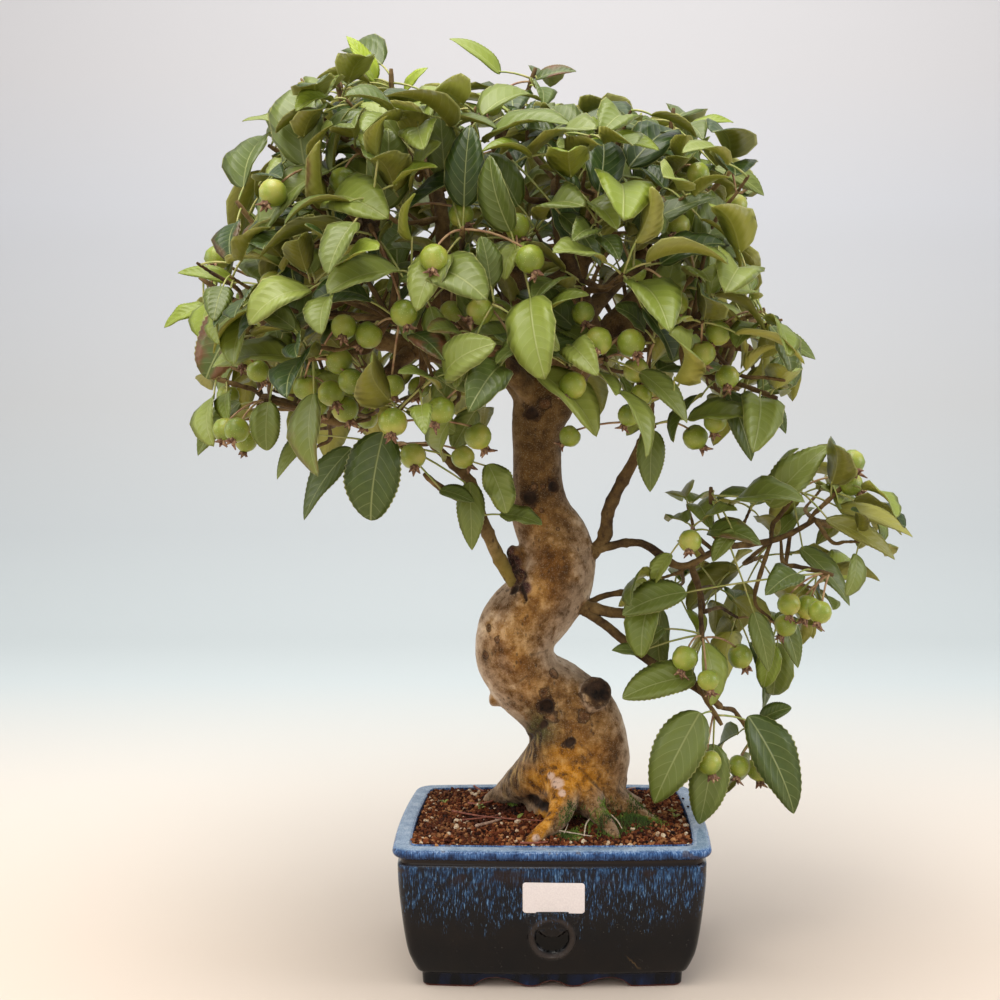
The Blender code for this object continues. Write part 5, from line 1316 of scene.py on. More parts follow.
# The leaves. Each is a thin blade, oval with a drawn-out tip and a finely toothed edge, folded up a
# little along a pale midrib, quilted between its veins and bent down at the tip. It hangs on a thin
# stalk. They grow singly round their shoot, and face the light.
# Leaves that stand out: pixels of blade base and tip, depth, and width as a share of length
MARKED_LEAVES = (
    (375, 82, 348, 34, -0.020, 0.42), (405, 92, 426, 66, -0.022, 0.40), (500, 74, 450, 37, 0.000, 0.40),
    (535, 80, 576, 70, 0.000, 0.45), (584, 118, 655, 130, -0.036, 0.50),
    (690, 128, 733, 118, 0.000, 0.40), (715, 168, 765, 194, -0.020, 0.45),
    (630, 236, 716, 194, -0.112, 0.42), (700, 240, 750, 290, -0.075, 0.45),
    (290, 126, 242, 118, 0.004, 0.40), (236, 284, 178, 270, -0.008, 0.36),
    (206, 306, 163, 326, 0.000, 0.42), (250, 306, 205, 378, -0.050, 0.62),
    (240, 402, 195, 454, -0.020, 0.40), (268, 402, 266, 450, -0.036, 0.62),
    (312, 432, 275, 478, -0.036, 0.42), (352, 448, 300, 518, -0.060, 0.42),
    (384, 432, 368, 520, -0.115, 0.64), (470, 482, 472, 550, -0.036, 0.42),
    (488, 464, 508, 512, -0.050, 0.62), (440, 490, 474, 502, -0.040, 0.55),
    (500, 514, 542, 522, -0.034, 0.60), (760, 336, 817, 356, -0.012, 0.42),
    (762, 395, 788, 432, -0.034, 0.40), (728, 392, 754, 460, -0.062, 0.42),
    (652, 430, 650, 492, -0.050, 0.46), (445, 180, 440, 106, -0.110, 0.46),
    (768, 506, 828, 444, -0.018, 0.46), (838, 508, 915, 534, -0.006, 0.34),
    (826, 520, 898, 556, -0.018, 0.34), (800, 548, 853, 604, 0.004, 0.38),
    (778, 612, 800, 668, -0.012, 0.42), (754, 612, 770, 672, -0.034, 0.40),
    (686, 592, 622, 610, -0.034, 0.54), (664, 628, 642, 646, -0.026, 0.60),
    (696, 676, 622, 694, -0.040, 0.56), (700, 712, 652, 804, -0.044, 0.50),
    (714, 744, 700, 826, -0.030, 0.50), (748, 716, 798, 814, -0.020, 0.44),
    (760, 720, 790, 706, -0.004, 0.62), (642, 652, 612, 650, -0.020, 0.50),
    (735, 530, 712, 560, -0.050, 0.55), (530, 340, 586, 362, -0.140, 0.55),
    (436, 372, 488, 392, -0.150, 0.55), (400, 280, 482, 286, -0.150, 0.34),
    (280, 330, 345, 290, -0.112, 0.60), (560, 214, 604, 262, -0.142, 0.46),
    (640, 372, 690, 420, -0.120, 0.46))
MARKED_SHIFTS = (0.0, -0.006, 0.006, -0.012, 0.012, -0.018, 0.018, -0.025)
LEAF_TRIES = 40
SPUR_LEAF_TRIES = 16
FRUIT_CLEAR = 17                        # pixels round a seen fruit's middle that stay free of added leaves
SMALL_FOLD = 0.28                       # a blade's fold, as a share of its half width
MATCH = 0.0004                          # a leaf stands on the solid model where its tip is this near
CLEAR_VIEW = (
    (500, 392), (588, 380), (618, 425), (660, 500), (640, 560), (600, 700), (470, 700), (440, 500),
    (480, 440))
LEAF_STATIONS = (0.002, 0.03, 0.08, 0.16, 0.27, 0.40, 0.53, 0.66, 0.78, 0.88, 0.955)
FINE_STATIONS = (
    0.002, 0.012, 0.03, 0.055, *(0.085 + 0.0305 * k for k in range(28)), 0.935, 0.955, 0.975, 0.99)
OVAL_LEAF = (0.50, 0.58)                # powers of the share along and the share left, in a blade's width
DRAWN_LEAF = (0.52, 0.86)
LEAF_ACROSS = (-1.0, -0.52, 0.0, 0.52, 1.0)
LEAF_HEART = np.array((0.0, 0.10, 0.42))   # blades look away from here
LEAF_THICK = 0.0007
YOUNG_MARKED = {0: 1.0, 1: 0.9, 2: 0.35, 10: 0.5, 11: 0.5, 5: 0.6}   # how yellow the young ones are
TURNED_MARKED = (28, 29)                # leaves that show their underside
RUSTY_MARKED = (3, 45, 44, 12)          # leaves whose edge or tip is reddish brown


def stem_ends(shoots, share):
    """The point on each shoot's stem at this share of its length."""
    return [shoot["begin"] + shoot["heading"] * shoot["length"] * share for shoot in shoots]


def petiole_cost(stem, base, ahead):
    """How unfit a stem point is for a leaf: far away, or so far ahead that its stalk would fold back."""
    reach = base - stem
    span = np.linalg.norm(reach)
    return span * (1.6 - reach.dot(ahead) / span) + (1.0 if reach.dot(ahead) < 0.25 * span else 0.0)


def marked_leaf(number, shift, shoots):
    """A leaf that the table gives, moved in depth by the shift: its shoot, stem, base, tip, up, width."""
    u0, v0, u1, v1, depth, share = MARKED_LEAVES[number]
    base = seen(u0, v0, depth + shift)
    tip = seen(u1, v1, depth + shift * 1.2 - 0.006)
    tops = stem_ends(shoots, 0.62 + 0.053 * (number % 6))
    length = np.linalg.norm(tip - base)
    owner = int(np.argmin([petiole_cost(top, base, (tip - base) / length) for top in tops]))
    up = unit(np.array((0.1 * math.sin(7.0 * number), -0.75, 0.7)))
    return owner, tops[owner], base, tip, up, length * share


def grown_leaf(shoot_number, leaf_number, trial, shoot):
    """One seeded try at a leaf that grows from a main shoot: stem, base, tip, up side and width."""
    draw = random.Random(1000 * shoot_number + 50 * leaf_number + trial)
    heading = shoot["heading"]
    along = 0.35 + 0.65 * (leaf_number + 0.5) / shoot["leaves"]
    stem = shoot["begin"] + heading * SHOOT_LENGTH * min(along, 0.96)
    side = unit(np.cross(heading, (0.1, 0.2, 1.0)))
    other = np.cross(heading, side)
    angle = 2.4 * leaf_number + 1.1 * shoot_number + draw.uniform(-0.7, 0.7)
    spread = draw.uniform(0.75, 1.35) if trial < 8 else draw.uniform(0.3, 2.0)
    way = unit(heading * math.cos(spread)
               + math.sin(spread) * (side * math.cos(angle) + other * math.sin(angle)))
    petiole = draw.uniform(0.014, 0.026)
    length = draw.uniform(0.044, 0.066) * (1.0 if trial < 8 else 0.88 if trial < 20 else 0.72)
    base = stem + way * petiole
    tip_way = unit(way + np.array((0, 0, draw.uniform(-0.45, 0.12))))
    up = unit(np.array((draw.uniform(-0.6, 0.6), draw.uniform(-0.8, 0.5), 1.0)) + 0.6 * heading)
    return stem, base, base + tip_way * length, up, length * draw.uniform(0.50, 0.60)


def spur_leaf(number, leaf_number, trial, shoot):
    """One seeded try at a leaf of a small shoot. Its stalk bends up out of the shoot and its blade turns
    to the light from above and outside."""
    draw = random.Random(77000 + 997 * number + 61 * leaf_number + trial)
    heading = shoot["heading"]
    stem = shoot["begin"] + heading * SPUR_LENGTH * (0.55 + 0.45 * (leaf_number + 1) / shoot["leaves"])
    side = unit(np.cross(heading, (0.1, 0.2, 1.0)))
    other = np.cross(heading, side)
    angle = 2.4 * leaf_number + 1.7 * number + draw.uniform(-0.6, 0.6)
    spread = draw.uniform(0.55, 1.45) if trial < 8 else draw.uniform(0.25, 2.1)
    way = unit(heading * math.cos(spread)
               + math.sin(spread) * (side * math.cos(angle) + other * math.sin(angle)))
    length = draw.uniform(0.030, 0.054) * (1.0 if trial < 6 else 0.85)
    base = stem + way * draw.uniform(0.010, 0.026)
    lift = 0.26 * min(max((base[2] - 0.50) / 0.12, -0.5), 1.0)
    tip_way = unit(way + np.array((0, 0, draw.uniform(-0.48, 0.22) + lift)))
    up = unit(np.array((draw.uniform(-0.7, 0.7), draw.uniform(-1.1, 0.5), 1.0)) + 0.7 * heading)
    return stem, base, base + tip_way * length, up, length * draw.uniform(0.50, 0.64)


def blade_grid(base, tip, up, width, fold):
    """A leaf's middle sheet as four rows of three points, for testing what it crosses."""
    ahead = tip - base
    up = unit(up - ahead * up.dot(ahead) / ahead.dot(ahead))
    side = np.cross(unit(ahead), up)
    rows = [base + ahead * t + side * c * width / 2 * w + up * fold * abs(c) * w * width / 2
            for t, w in ((0.0, 0.1), (0.25, 0.9), (0.6, 0.9), (1.0, 0.02)) for c in (-1, 0, 1)]
    return np.array(rows)


GRID_FACES = [face for row in range(3) for column in range(2) for face in (
    (row * 3 + column, row * 3 + column + 1, row * 3 + column + 4),
    (row * 3 + column, row * 3 + column + 4, row * 3 + column + 3))]


class Standing:
    """What already stands: a box and a search tree of each piece, for testing a new one against."""

    def __init__(self):
        self.lows, self.highs, self.trees = [], [], []

    def add(self, points, faces):
        points = np.asarray(points, float)
        self.lows.append(points.min(axis=0))
        self.highs.append(points.max(axis=0))
        self.trees.append(search_tree(points, faces))

    def touches(self, points, faces):
        low, high = points.min(axis=0), points.max(axis=0)
        above, below = np.array(self.highs) > low, np.array(self.lows) < high
        near = np.flatnonzero(above.all(axis=1) & below.all(axis=1))
        own = search_tree(points, faces) if len(near) else None
        return any(own.overlap(self.trees[k]) for k in near)


def nodes_points():
    """A search tree over the points of every leafy shoot of the solid model, one for each shoot."""
    trees = []
    for number in range(len(SHOOTS)):
        item = bpy.data.objects["leafy_shoot_%02d" % (number + 1)]
        tree = KDTree(len(item.data.vertices))
        for k, vertex in enumerate(item.data.vertices):
            tree.insert(item.matrix_world @ vertex.co, k)
        tree.balance()
        trees.append(tree)
    return trees


def stands(trees, number, point, near=MATCH):
    return trees[number].find(Vector(point))[2] < near


def leaves_of_model(trees):
    """The leaves that the solid model has: every try of the tables' rule whose tip is a point of it."""
    found = []
    for number in range(len(MARKED_LEAVES)):
        for shift in MARKED_SHIFTS:
            owner, stem, base, tip, up, width = marked_leaf(number, shift, main_shoots)
            if stands(trees, owner, tip):
                found.append((owner, stem, base, tip, up, width, 0.07, SMALL_FOLD, number))
                break
    for number, shoot in enumerate(main_shoots):
        for leaf_number in range(shoot["leaves"]):
            for trial in range(LEAF_TRIES):
                stem, base, tip, up, width = grown_leaf(number, leaf_number, trial, shoot)
                if stands(trees, number, tip):
                    found.append((number, stem, base, tip, up, width, 0.10, 0.34))
                    break
    return found


def wanted(base, tip, on_branch, fruits):
    """Whether an added leaf stays within its mass, off the bare trunk, and off the fruits that are seen."""
    places = base + (tip - base) * np.array((0.15, 0.5, 0.85, 1.0))[:, None]
    u, v, depth = shown(places)
    outline, deepest = (BRANCH_OUTLINE, BRANCH_DEPTH) if on_branch else (CROWN_OUTLINE, CROWN_DEPTH)
    if abs(depth[3]) > deepest or abs(tip[0]) > CROWN_SIDE + 0.008:
        return False
    if not all(inside(outline, a, b) and not inside(SKY, a, b) for a, b in zip(u[1:], v[1:])):
        return False
    out = tip * (1, 0.5, 1) - CROWN_PLACE
    turn = math.atan2(out[2], out[0])
    ragged = 1.0 + EDGE_WAVE * math.sin(9 * turn)
    if out[1] <= 0.02:
        ragged += EDGE_RIPPLE * math.sin(23 * turn + 1.0) - 0.02
    if not on_branch and np.linalg.norm(out / CROWN_ROUND) > ragged:
        return False
    if not on_branch and any(inside(CLEAR_VIEW, a, b) for a, b in zip(u, v)):
        return False
    for fruit_u, fruit_v, fruit_depth in fruits:
        hides = (np.hypot(u - fruit_u, v - fruit_v) < FRUIT_CLEAR) & (depth < fruit_depth + 0.012)
        if hides.any():
            return False
    return True


def spur_leaves(standing, fruits):
    """The leaves of the small shoots, each at the first seeded try that crosses nothing."""
    found = []
    spurs = crown_spurs + branch_spurs
    for leaf_number in range(5):
        for number, shoot in enumerate(spurs):
            if leaf_number >= shoot["leaves"]:
                continue
            for trial in range(SPUR_LEAF_TRIES):
                stem, base, tip, up, width = spur_leaf(number, leaf_number, trial, shoot)
                if not wanted(base, tip, number >= len(crown_spurs), fruits):
                    continue
                grid = blade_grid(base, tip, up, width, SMALL_FOLD)
                if standing.touches(grid, GRID_FACES):
                    continue
                standing.add(grid, GRID_FACES)
                draw = random.Random(number * 7 + leaf_number)
                found.append((len(main_shoots) + number, stem, base, tip, up, width,
                              draw.uniform(0.05, 0.15), draw.uniform(0.15, 0.55)))
                break
    return found


def blade_width(t, powers):
    """A blade's width at the share t of its length: t to one power times 1 - t to another, over its
    most."""
    first, last = powers
    most = (first / (first + last)) ** first * (last / (first + last)) ** last
    return t ** first * (1 - t) ** last / most


def blades(leaves, seed, stations):
    """Points, faces and values of many leaves at once. A point lies at base + length * t ahead, out to
    the side by half the width times the station's share times its place across, and up by the arch, by
    the fold times the distance from the midrib, by a bulge between midrib and edge, and down at the tip
    by t to the third. The underside has one row of points below the midrib and shares the edges."""
    draw = np.random.default_rng(seed)
    count = len(leaves)
    base, tip, up = (np.array([leaf[k] for leaf in leaves]) for k in (2, 3, 4))
    width, rise, fold = (np.array([leaf[k] for leaf in leaves])[:, None, None] for k in (5, 6, 7))
    length = np.linalg.norm(tip - base, axis=1)[:, None, None]
    ahead = (tip - base) / length[:, 0]
    up = up - ahead * (up * ahead).sum(axis=1)[:, None]
    up /= np.linalg.norm(up, axis=1)[:, None]
    side = np.cross(ahead, up)
    t = np.array(stations)[None, :, None]
    slim = np.clip((0.60 - width / length) / 0.12, 0.0, 1.0)
    share = blade_width(t, OVAL_LEAF) * (1 - slim) + blade_width(t, DRAWN_LEAF) * slim
    across = np.array(LEAF_ACROSS)[None, None, :]
    curl = draw.uniform(0.02, 0.14, (count, 1, 1))
    ripple = draw.uniform(0.0, 0.16, (count, 1, 1)) * np.sin(
        t * draw.uniform(7, 15, (count, 1, 1)) + draw.uniform(0, 6, (count, 1, 1)) + 2.0 * (across > 0))
    twist = draw.uniform(-0.35, 0.35, (count, 1, 1)) * t
    tooth = 1 + 0.028 * (-1) ** np.arange(len(stations))[None, :, None] * (np.abs(across) > 0.9)
    out = width / 2 * share * across * tooth
    high = (rise * length * 4 * t * (1 - t) + fold * np.abs(out) - curl * length * t ** 3 + twist * out
            + ripple * np.abs(out) + 0.05 * width * share * (np.abs(across) == 0.52))
    flat = (base[:, None, None] + ahead[:, None, None] * (length * t)[..., None]
            + side[:, None, None] * out[..., None])
    top = flat + up[:, None, None] * high[..., None]
    below = top[:, :, 2] - up[:, None] * LEAF_THICK
    point = tip - up * (curl * length)[:, 0]
    each = len(stations) * 6 + 1
    points = np.concatenate((top.reshape(count, -1, 3), below, point[:, None]), axis=1).reshape(-1, 3)
    faces, flats = blade_faces(stations)
    faces = (faces[None] + (np.arange(count) * each)[:, None, None]).reshape(-1, 4)
    return points, faces, np.tile(flats, (count, 1, 1)), each


def blade_faces(stations):
    """Faces of one leaf, all four-sided, and the place of each of their corners on the blade: how far
    out, and how far along, with 2 added for the underside."""
    widths = blade_width(np.array(stations), OVAL_LEAF)
    columns = len(LEAF_ACROSS)
    middle = columns // 2
    faces, sheet = [], []

    def put(*corners, under=False):
        faces.append([index for index, _, _ in corners])
        sheet.append([(out, along + (2.0 if under else 0.0)) for _, out, along in corners])

    def top(r, c):
        return r * columns + c, LEAF_ACROSS[c] * widths[r], stations[r]

    def low(r):
        return len(stations) * columns + r, 0.0, stations[r]

    end = (len(stations) * (columns + 1), 0.0, 1.0)
    last = len(stations) - 1
    for r in range(last):
        for c in range(columns - 1):
            put(top(r, c), top(r, c + 1), top(r + 1, c + 1), top(r + 1, c))
        put(top(r, 0), top(r + 1, 0), low(r + 1), low(r), under=True)
        put(low(r), low(r + 1), top(r + 1, columns - 1), top(r, columns - 1), under=True)
    for c in (0, middle):
        put(top(last, c), top(last, c + 1), top(last, c + 2), end)
        put(top(0, c + 2), top(0, c + 1), top(0, c), low(0), under=True)
    put(top(last, 0), end, top(last, columns - 1), low(last), under=True)
    return np.array(faces), np.array(sheet)


def leaf_piece(name, leaves, finish, seed, stations=LEAF_STATIONS):
    """One piece of many leaves, with each leaf's tone, yellow and rust, and how far out and along each
    corner lies on its blade. Most blades whose upper side would look inwards show it outwards instead."""
    points, faces, sheet, each = blades(leaves, seed, stations)
    item = piece_of(name, points, faces[:, ::-1], finish)
    draw = np.random.default_rng(seed + 1)
    middles = np.array([(leaf[2] + leaf[3]) / 2 for leaf in leaves])
    outwards = middles - LEAF_HEART
    outwards[:, 2] = np.maximum(outwards[:, 2], 0.0) + 0.05
    inward = (outwards * np.array([leaf[4] for leaf in leaves])).sum(axis=1) < 0
    turned = inward & (draw.uniform(0, 1, len(leaves)) < 0.7)
    # Leaves deep in the crown get a lower tone: partly painted shade, partly the darker green of shade
    # leaves.
    shaded = np.clip(1.1 - np.linalg.norm((middles - CROWN_PLACE) / CROWN_ROUND, axis=1), 0.0, 0.6)
    tone = np.clip(draw.normal(0.49, 0.29, len(leaves)) - 0.7 * shaded, 0, 0.90)
    pick = draw.uniform(0, 1, len(leaves))
    yellow = np.where(pick < 0.74, 0.0, np.where(pick < 0.95, 0.18, 0.45))
    rusty = np.where(draw.uniform(0, 1, len(leaves)) < 0.05, draw.uniform(0.3, 1.0, len(leaves)), 0.0)
    for k, leaf in enumerate(leaves):
        if len(leaf) > 8:
            turned[k] = leaf[8] in TURNED_MARKED
            yellow[k] = YOUNG_MARKED.get(leaf[8], 0.0)
            rusty[k] = 1.0 if leaf[8] in RUSTY_MARKED else 0.0
            tone[k] = 0.12 + 0.55 * tone[k]
    sheet = sheet.reshape(len(leaves), -1, 2)
    sheet[turned, :, 1] += np.where(sheet[turned, :, 1] > 1.5, -2.0, 2.0)
    flat = item.data.uv_layers.new(name="blade")
    flat.data.foreach_set("uv", sheet.reshape(-1, 4, 2)[:, ::-1].astype(np.float32).ravel())
    tone, yellow, rusty = (np.repeat(numbers, each) for numbers in (tone, yellow, rusty))
    edge = np.zeros(each)
    edge[:len(stations) * len(LEAF_ACROSS)] = np.tile(np.abs(LEAF_ACROSS) > 0.9, len(stations))
    edge[-1] = 1.0
    set_values(item, tone=tone, yellow=yellow, rust=rusty, edge=np.tile(edge, len(leaves)))
    return item


def leaf_finish():
    """A leaf's skin: deep green above with a soft sheen, pale veins and margin; olive with raised veins
    below. Young leaves are yellow green. Light shines through a little."""
    made, tree, shader = new_finish("leaf_skin", Roughness=0.39, Specular_IOR_Level=0.50)
    sheet = add(tree, "UVMap", settings={"uv_map": "blade"})
    out, along = (part_of(sheet, k) for k in (0, 1))
    place = add(tree, "TexCoord", result=3)
    under = rise_between(along, 1.4, 1.6)
    along = along - under * 2.0
    wide = abs(out)
    tone, yellow = (stored(tree, name) for name in ("tone", "yellow"))
    bent = wide * 0.17 + maths("POWER", wide, 2.0) * 0.2
    phase = maths("FRACT", (along - bent) * 7.5)
    beside = abs(phase - 0.5)
    vein = rise_between(beside, 0.445, 0.495)
    midrib = rise_between(wide, 0.045, 0.015)
    lines = maths("MAXIMUM", vein * 0.55, midrib)
    fine = noise(place, 220.0, 3.0)
    top = blend(tone, "#294213", "#a6b254")
    top = blend(yellow, top, "#a9bd2f")
    top = blend(rise_between(fine, 0.35, 0.7) * 0.15, top, "#75873f")
    top = blend(lines * 0.55, top, "#b9c07c")
    low = blend(tone, "#76762b", "#b9b457")
    low = blend(yellow, low, "#a9b23a")
    low = blend(lines * 0.4, low, "#bdbc72")
    shade = blend(under, top, low)
    rust = stored(tree, "rust")
    blotchy = noise(place, 70.0, 3.0)
    at_edge = wide * 0.45 + along * 0.45
    rust = rust * rise_between(at_edge + blotchy, 0.92, 1.12)
    shade = blend(rust * 0.8, shade, "#7d4a34")
    edge = rise_between(stored(tree, "edge"), 0.88, 0.96)
    shade = blend(edge * 0.75, shade, "#c3c476")
    feed(shader, Base_Color=shade)
    height = (0.5 - beside) * 1.0 - midrib * 1.2
    feed(shader, Normal=add(tree, "Bump", Height=height, Strength=0.35, Distance=0.0012))
    light = add(tree, "BsdfTranslucent", Color=blend(0.5, shade, "#bcc63a"))
    both = add(tree, "MixShader", n0=0.22, n1=Value(shader.outputs[0]), n2=light)
    feed(tree.nodes["Material Output"], Surface=both)
    return made


# Fruits: pixel and depth of each one's middle
FRUITS = (
    (217, 258, -0.010), (343, 181, -0.110), (273, 284, -0.085), (344, 327, -0.130), (404, 313, -0.150),
    (517, 226, -0.140), (530, 259, -0.155), (491, 104, -0.020), (480, 311, -0.150), (631, 343, -0.145),
    (598, 341, -0.150), (678, 226, -0.120), (736, 205, -0.030), (676, 303, -0.130), (770, 409, -0.030),
    (727, 377, -0.080), (243, 356, -0.035), (283, 391, -0.045), (393, 422, -0.140), (441, 410, -0.150),
    (478, 436, -0.080), (228, 396, -0.010), (495, 523, -0.050), (852, 462, -0.020), (789, 604, -0.040),
    (808, 607, -0.030), (685, 658, -0.040), (740, 656, -0.010), (709, 762, -0.040), (758, 769, -0.008),
    (330, 300, 0.110), (470, 300, 0.150), (620, 320, 0.130), (560, 230, 0.130), (400, 360, 0.110))
MORE_FRUITS = (                         # pixels of the other fruits that are seen
    (273, 193), (461, 215), (499, 313), (451, 312), (434, 258), (636, 370), (583, 313), (573, 385),
    (633, 272), (698, 174), (718, 333), (715, 421), (703, 353), (641, 395), (629, 415), (258, 371),
    (306, 388), (331, 393), (339, 361), (351, 381), (317, 404), (345, 409), (393, 385), (369, 335),
    (463, 457), (413, 456), (225, 430), (237, 430), (246, 441), (570, 436), (695, 437), (851, 484),
    (820, 612), (786, 625), (790, 637), (716, 664), (708, 680), (739, 766), (690, 541))
FRUIT_SHIFTS = (0.0, -0.006, 0.006, -0.012, 0.012, 0.018)
MORE_SHIFTS = (0.0, -0.010, 0.010, -0.020, 0.020, 0.032, -0.032, 0.045, -0.045)
FRUIT_SLIM = 0.93                       # a fruit's skin lies this far in from the solid model's
FRUIT_RADIUS = 0.0095
HIDDEN_FRUITS = 24                      # seeded ones at the crown's back, and the pixels they lie between
HIDDEN_ACROSS = (230, 760)
HIDDEN_UP = (150, 420)
HIDDEN_DEPTH = 0.95                     # how deep they hang, as a share of the front's fruits
HIDDEN_COST = 0.030                     # what a place behind a leaf costs, as metres off the best place


def fruits_of_model(trees):
    """The fruits that the solid model has: each try of its rule whose first body point is a point of it."""
    found = []
    for number, (u, v, depth) in enumerate(FRUITS):
        radius = FRUIT_RADIUS * random.Random(500 + number).uniform(0.92, 1.06)
        tops = stem_ends(main_shoots, 0.65 + 0.047 * (number % 7))
        for shift in FRUIT_SHIFTS:
            middle = seen(u, v, depth + shift)
            order = np.argsort([np.linalg.norm(top - middle) for top in tops])
            matched = None
            for owner in (int(k) for k in order[:3]):
                down = unit(unit(middle - tops[owner]) + np.array((0, -0.15, -0.35)))
                side = unit(np.cross(down, (0.3, 0.9, 0.1)))
                first = middle + radius * (down * -0.88 + 0.45 * side)
                if stands(trees, owner, first):
                    matched = (middle, down, radius, tops[owner])
                    break
            if matched:
                draw = random.Random(700 + number)
                middle, down, radius, top = matched
                hang = unit(0.5 * down + np.array((draw.uniform(-0.35, 0.35), -0.2, -0.8)))
                found.append((middle, hang, radius, top))
                break
    return found


def more_fruits(standing, spots):
    """The other fruits: each hangs from a shoot 2 to 5 cm above or behind it, at the depth of the crown's
    front there, moved back or forward until it is clear."""
    found = []
    tops = np.array(stem_ends(all_shoots, 0.9))
    for number, (u, v, depth) in enumerate(spots):
        draw = random.Random(900 + number)
        radius = FRUIT_RADIUS * draw.uniform(0.84, 1.04)
        best = None
        for shift in MORE_SHIFTS:
            middle = seen(u, v, depth + shift)
            ahead = unit(VIEW_EYE + POT_AT - middle)
            sight = middle + ahead * radius * 1.4 + np.array(((-0.004, 0, 0), (0.004, 0, 0), ahead * 0.14))
            gaps = np.linalg.norm(tops + (0, 0, 0.006) - middle, axis=1)
            lift = tops[:, 2] - middle[2]
            cost = np.abs(gaps - 0.034) + np.where(lift < 0.004, 0.02 + np.maximum(-lift, 0), 0.0)
            owner = int(np.argmin(cost))
            body = middle + radius * 1.05 * BALL
            if standing.touches(body, BALL_FACES):
                continue
            price = cost[owner] + abs(shift) * 0.3
            price += HIDDEN_COST if depth < 0 and standing.touches(sight, [(0, 1, 2)]) else 0.0
            if best is None or price < best[0]:
                best = (price, middle, owner)
        if best is None:
            continue
        _, middle, owner = best
        down = unit(unit(middle - tops[owner]) + np.array((draw.uniform(-0.4, 0.4), -0.25, -1.1)))
        standing.add(middle + radius * 1.05 * BALL, BALL_FACES)
        found.append((middle, down, radius, tops[owner]))
    return found


golden = (1 + math.sqrt(5)) / 2
BALL = np.array([(0, a, b * golden) for a in (-1, 1) for b in (-1, 1)]
                + [(a, b * golden, 0) for a in (-1, 1) for b in (-1, 1)]
                + [(b * golden, 0, a) for a in (-1, 1) for b in (-1, 1)]) / math.hypot(1, golden)
BALL_FACES = [corners for corners in itertools.combinations(range(12), 3)
              if all(np.linalg.norm(BALL[a] - BALL[b]) < 1.1
                     for a, b in itertools.combinations(corners, 2))]


def front_depth(u, v):
    """How far in front of the pot's middle the crown's or the branch's fruits hang at a pixel."""
    if u > 690 and v > 430:
        return -0.024
    if v > 415:
        return -0.045
    across = ((u - CROWN_MIDDLE[0]) / CROWN_REACH[0]) ** 2 + ((v - CROWN_MIDDLE[1]) / CROWN_REACH[1]) ** 2
    return -0.80 * CROWN_DEEP * math.sqrt(max(1.0 - across, 0.03))


FRUIT_PROFILE = (
    (-0.70, 0.0), (-0.74, 0.16), (-0.86, 0.36), (-0.80, 0.60), (-0.52, 0.87), (-0.10, 1.01),
    (0.32, 0.97), (0.66, 0.77), (0.88, 0.47), (1.00, 0.27), (1.05, 0.16), (1.02, 0.0))
FRUIT_AROUND = 12


def fruit_bodies(fruits):
    """All fruits as turned bodies: each profile point lies down the fruit's axis and out from it, in
    shares of its radius."""
    shapes = []
    turn = np.linspace(0, 2 * math.pi, FRUIT_AROUND, endpoint=False)
    rows = np.array(FRUIT_PROFILE)
    for number, (middle, down, radius, _) in enumerate(fruits):
        radius = radius * FRUIT_SLIM
        side = unit(np.cross(down, (0.3, 0.9, 0.1)))
        other = np.cross(down, side)
        ribs = 1 + 0.018 * np.cos(5 * turn + number)
        rings = (middle + radius * (down * rows[1:-1, 0, None, None]
                                    + rows[1:-1, 1, None, None] * ribs[None, :, None]
                                    * (side * np.cos(turn)[:, None] + other * np.sin(turn)[:, None])[None]))
        count = len(rows) - 2
        quads = ring_faces(count, FRUIT_AROUND)
        around = np.arange(FRUIT_AROUND)
        after = (around + 1) % FRUIT_AROUND
        ends = count * FRUIT_AROUND
        faces = np.concatenate((
            quads[:, [0, 2, 1]], quads[:, [0, 3, 2]],
            np.stack((around, after, np.full(FRUIT_AROUND, ends)), -1),
            np.stack((ends - FRUIT_AROUND + after, ends - FRUIT_AROUND + around,
                      np.full(FRUIT_AROUND, ends + 1)), -1)))
        caps = middle + radius * down * rows[[0, -1], 0][:, None]
        shapes.append((np.vstack((rings.reshape(-1, 3), caps)), faces[:, ::-1]))
    return joined(shapes)


def calyx_bits(fruits):
    """The dry calyx of every fruit: five narrow sepals that spread and curl from the ring at its end."""
    shapes = []
    for number, (middle, down, radius, _) in enumerate(fruits):
        draw = random.Random(300 + number)
        radius = radius * FRUIT_SLIM
        side = unit(np.cross(down, (0.3, 0.9, 0.1)))
        other = np.cross(down, side)
        end = middle + down * radius * 0.97
        for k in range(5):
            angle = 2 * math.pi * k / 5 + draw.uniform(-0.3, 0.3)
            out = side * math.cos(angle) + other * math.sin(angle)
            long = radius * draw.uniform(0.50, 0.95)
            lean = draw.uniform(0.3, 1.1)
            line = np.array((end + out * radius * 0.14, end + out * radius * 0.26 + down * long * 0.42,
                             end + out * (radius * 0.26 + long * lean * 0.6) + down * long * 0.72))
            shapes.append(tube(line, radius * np.array((0.20, 0.15, 0.04)), 4))
    return joined(shapes)


def thin_stalk(start, end, rise, first, last, steps, sides):
    """A stalk from one point to another that bows upwards by the rise."""
    share = np.linspace(0, 1, steps)[:, None]
    line = start * (1 - share) + end * share + np.array((0, 0, 1.0)) * 4 * rise * share * (1 - share)
    return tube(line, np.linspace(first, last, steps), sides)


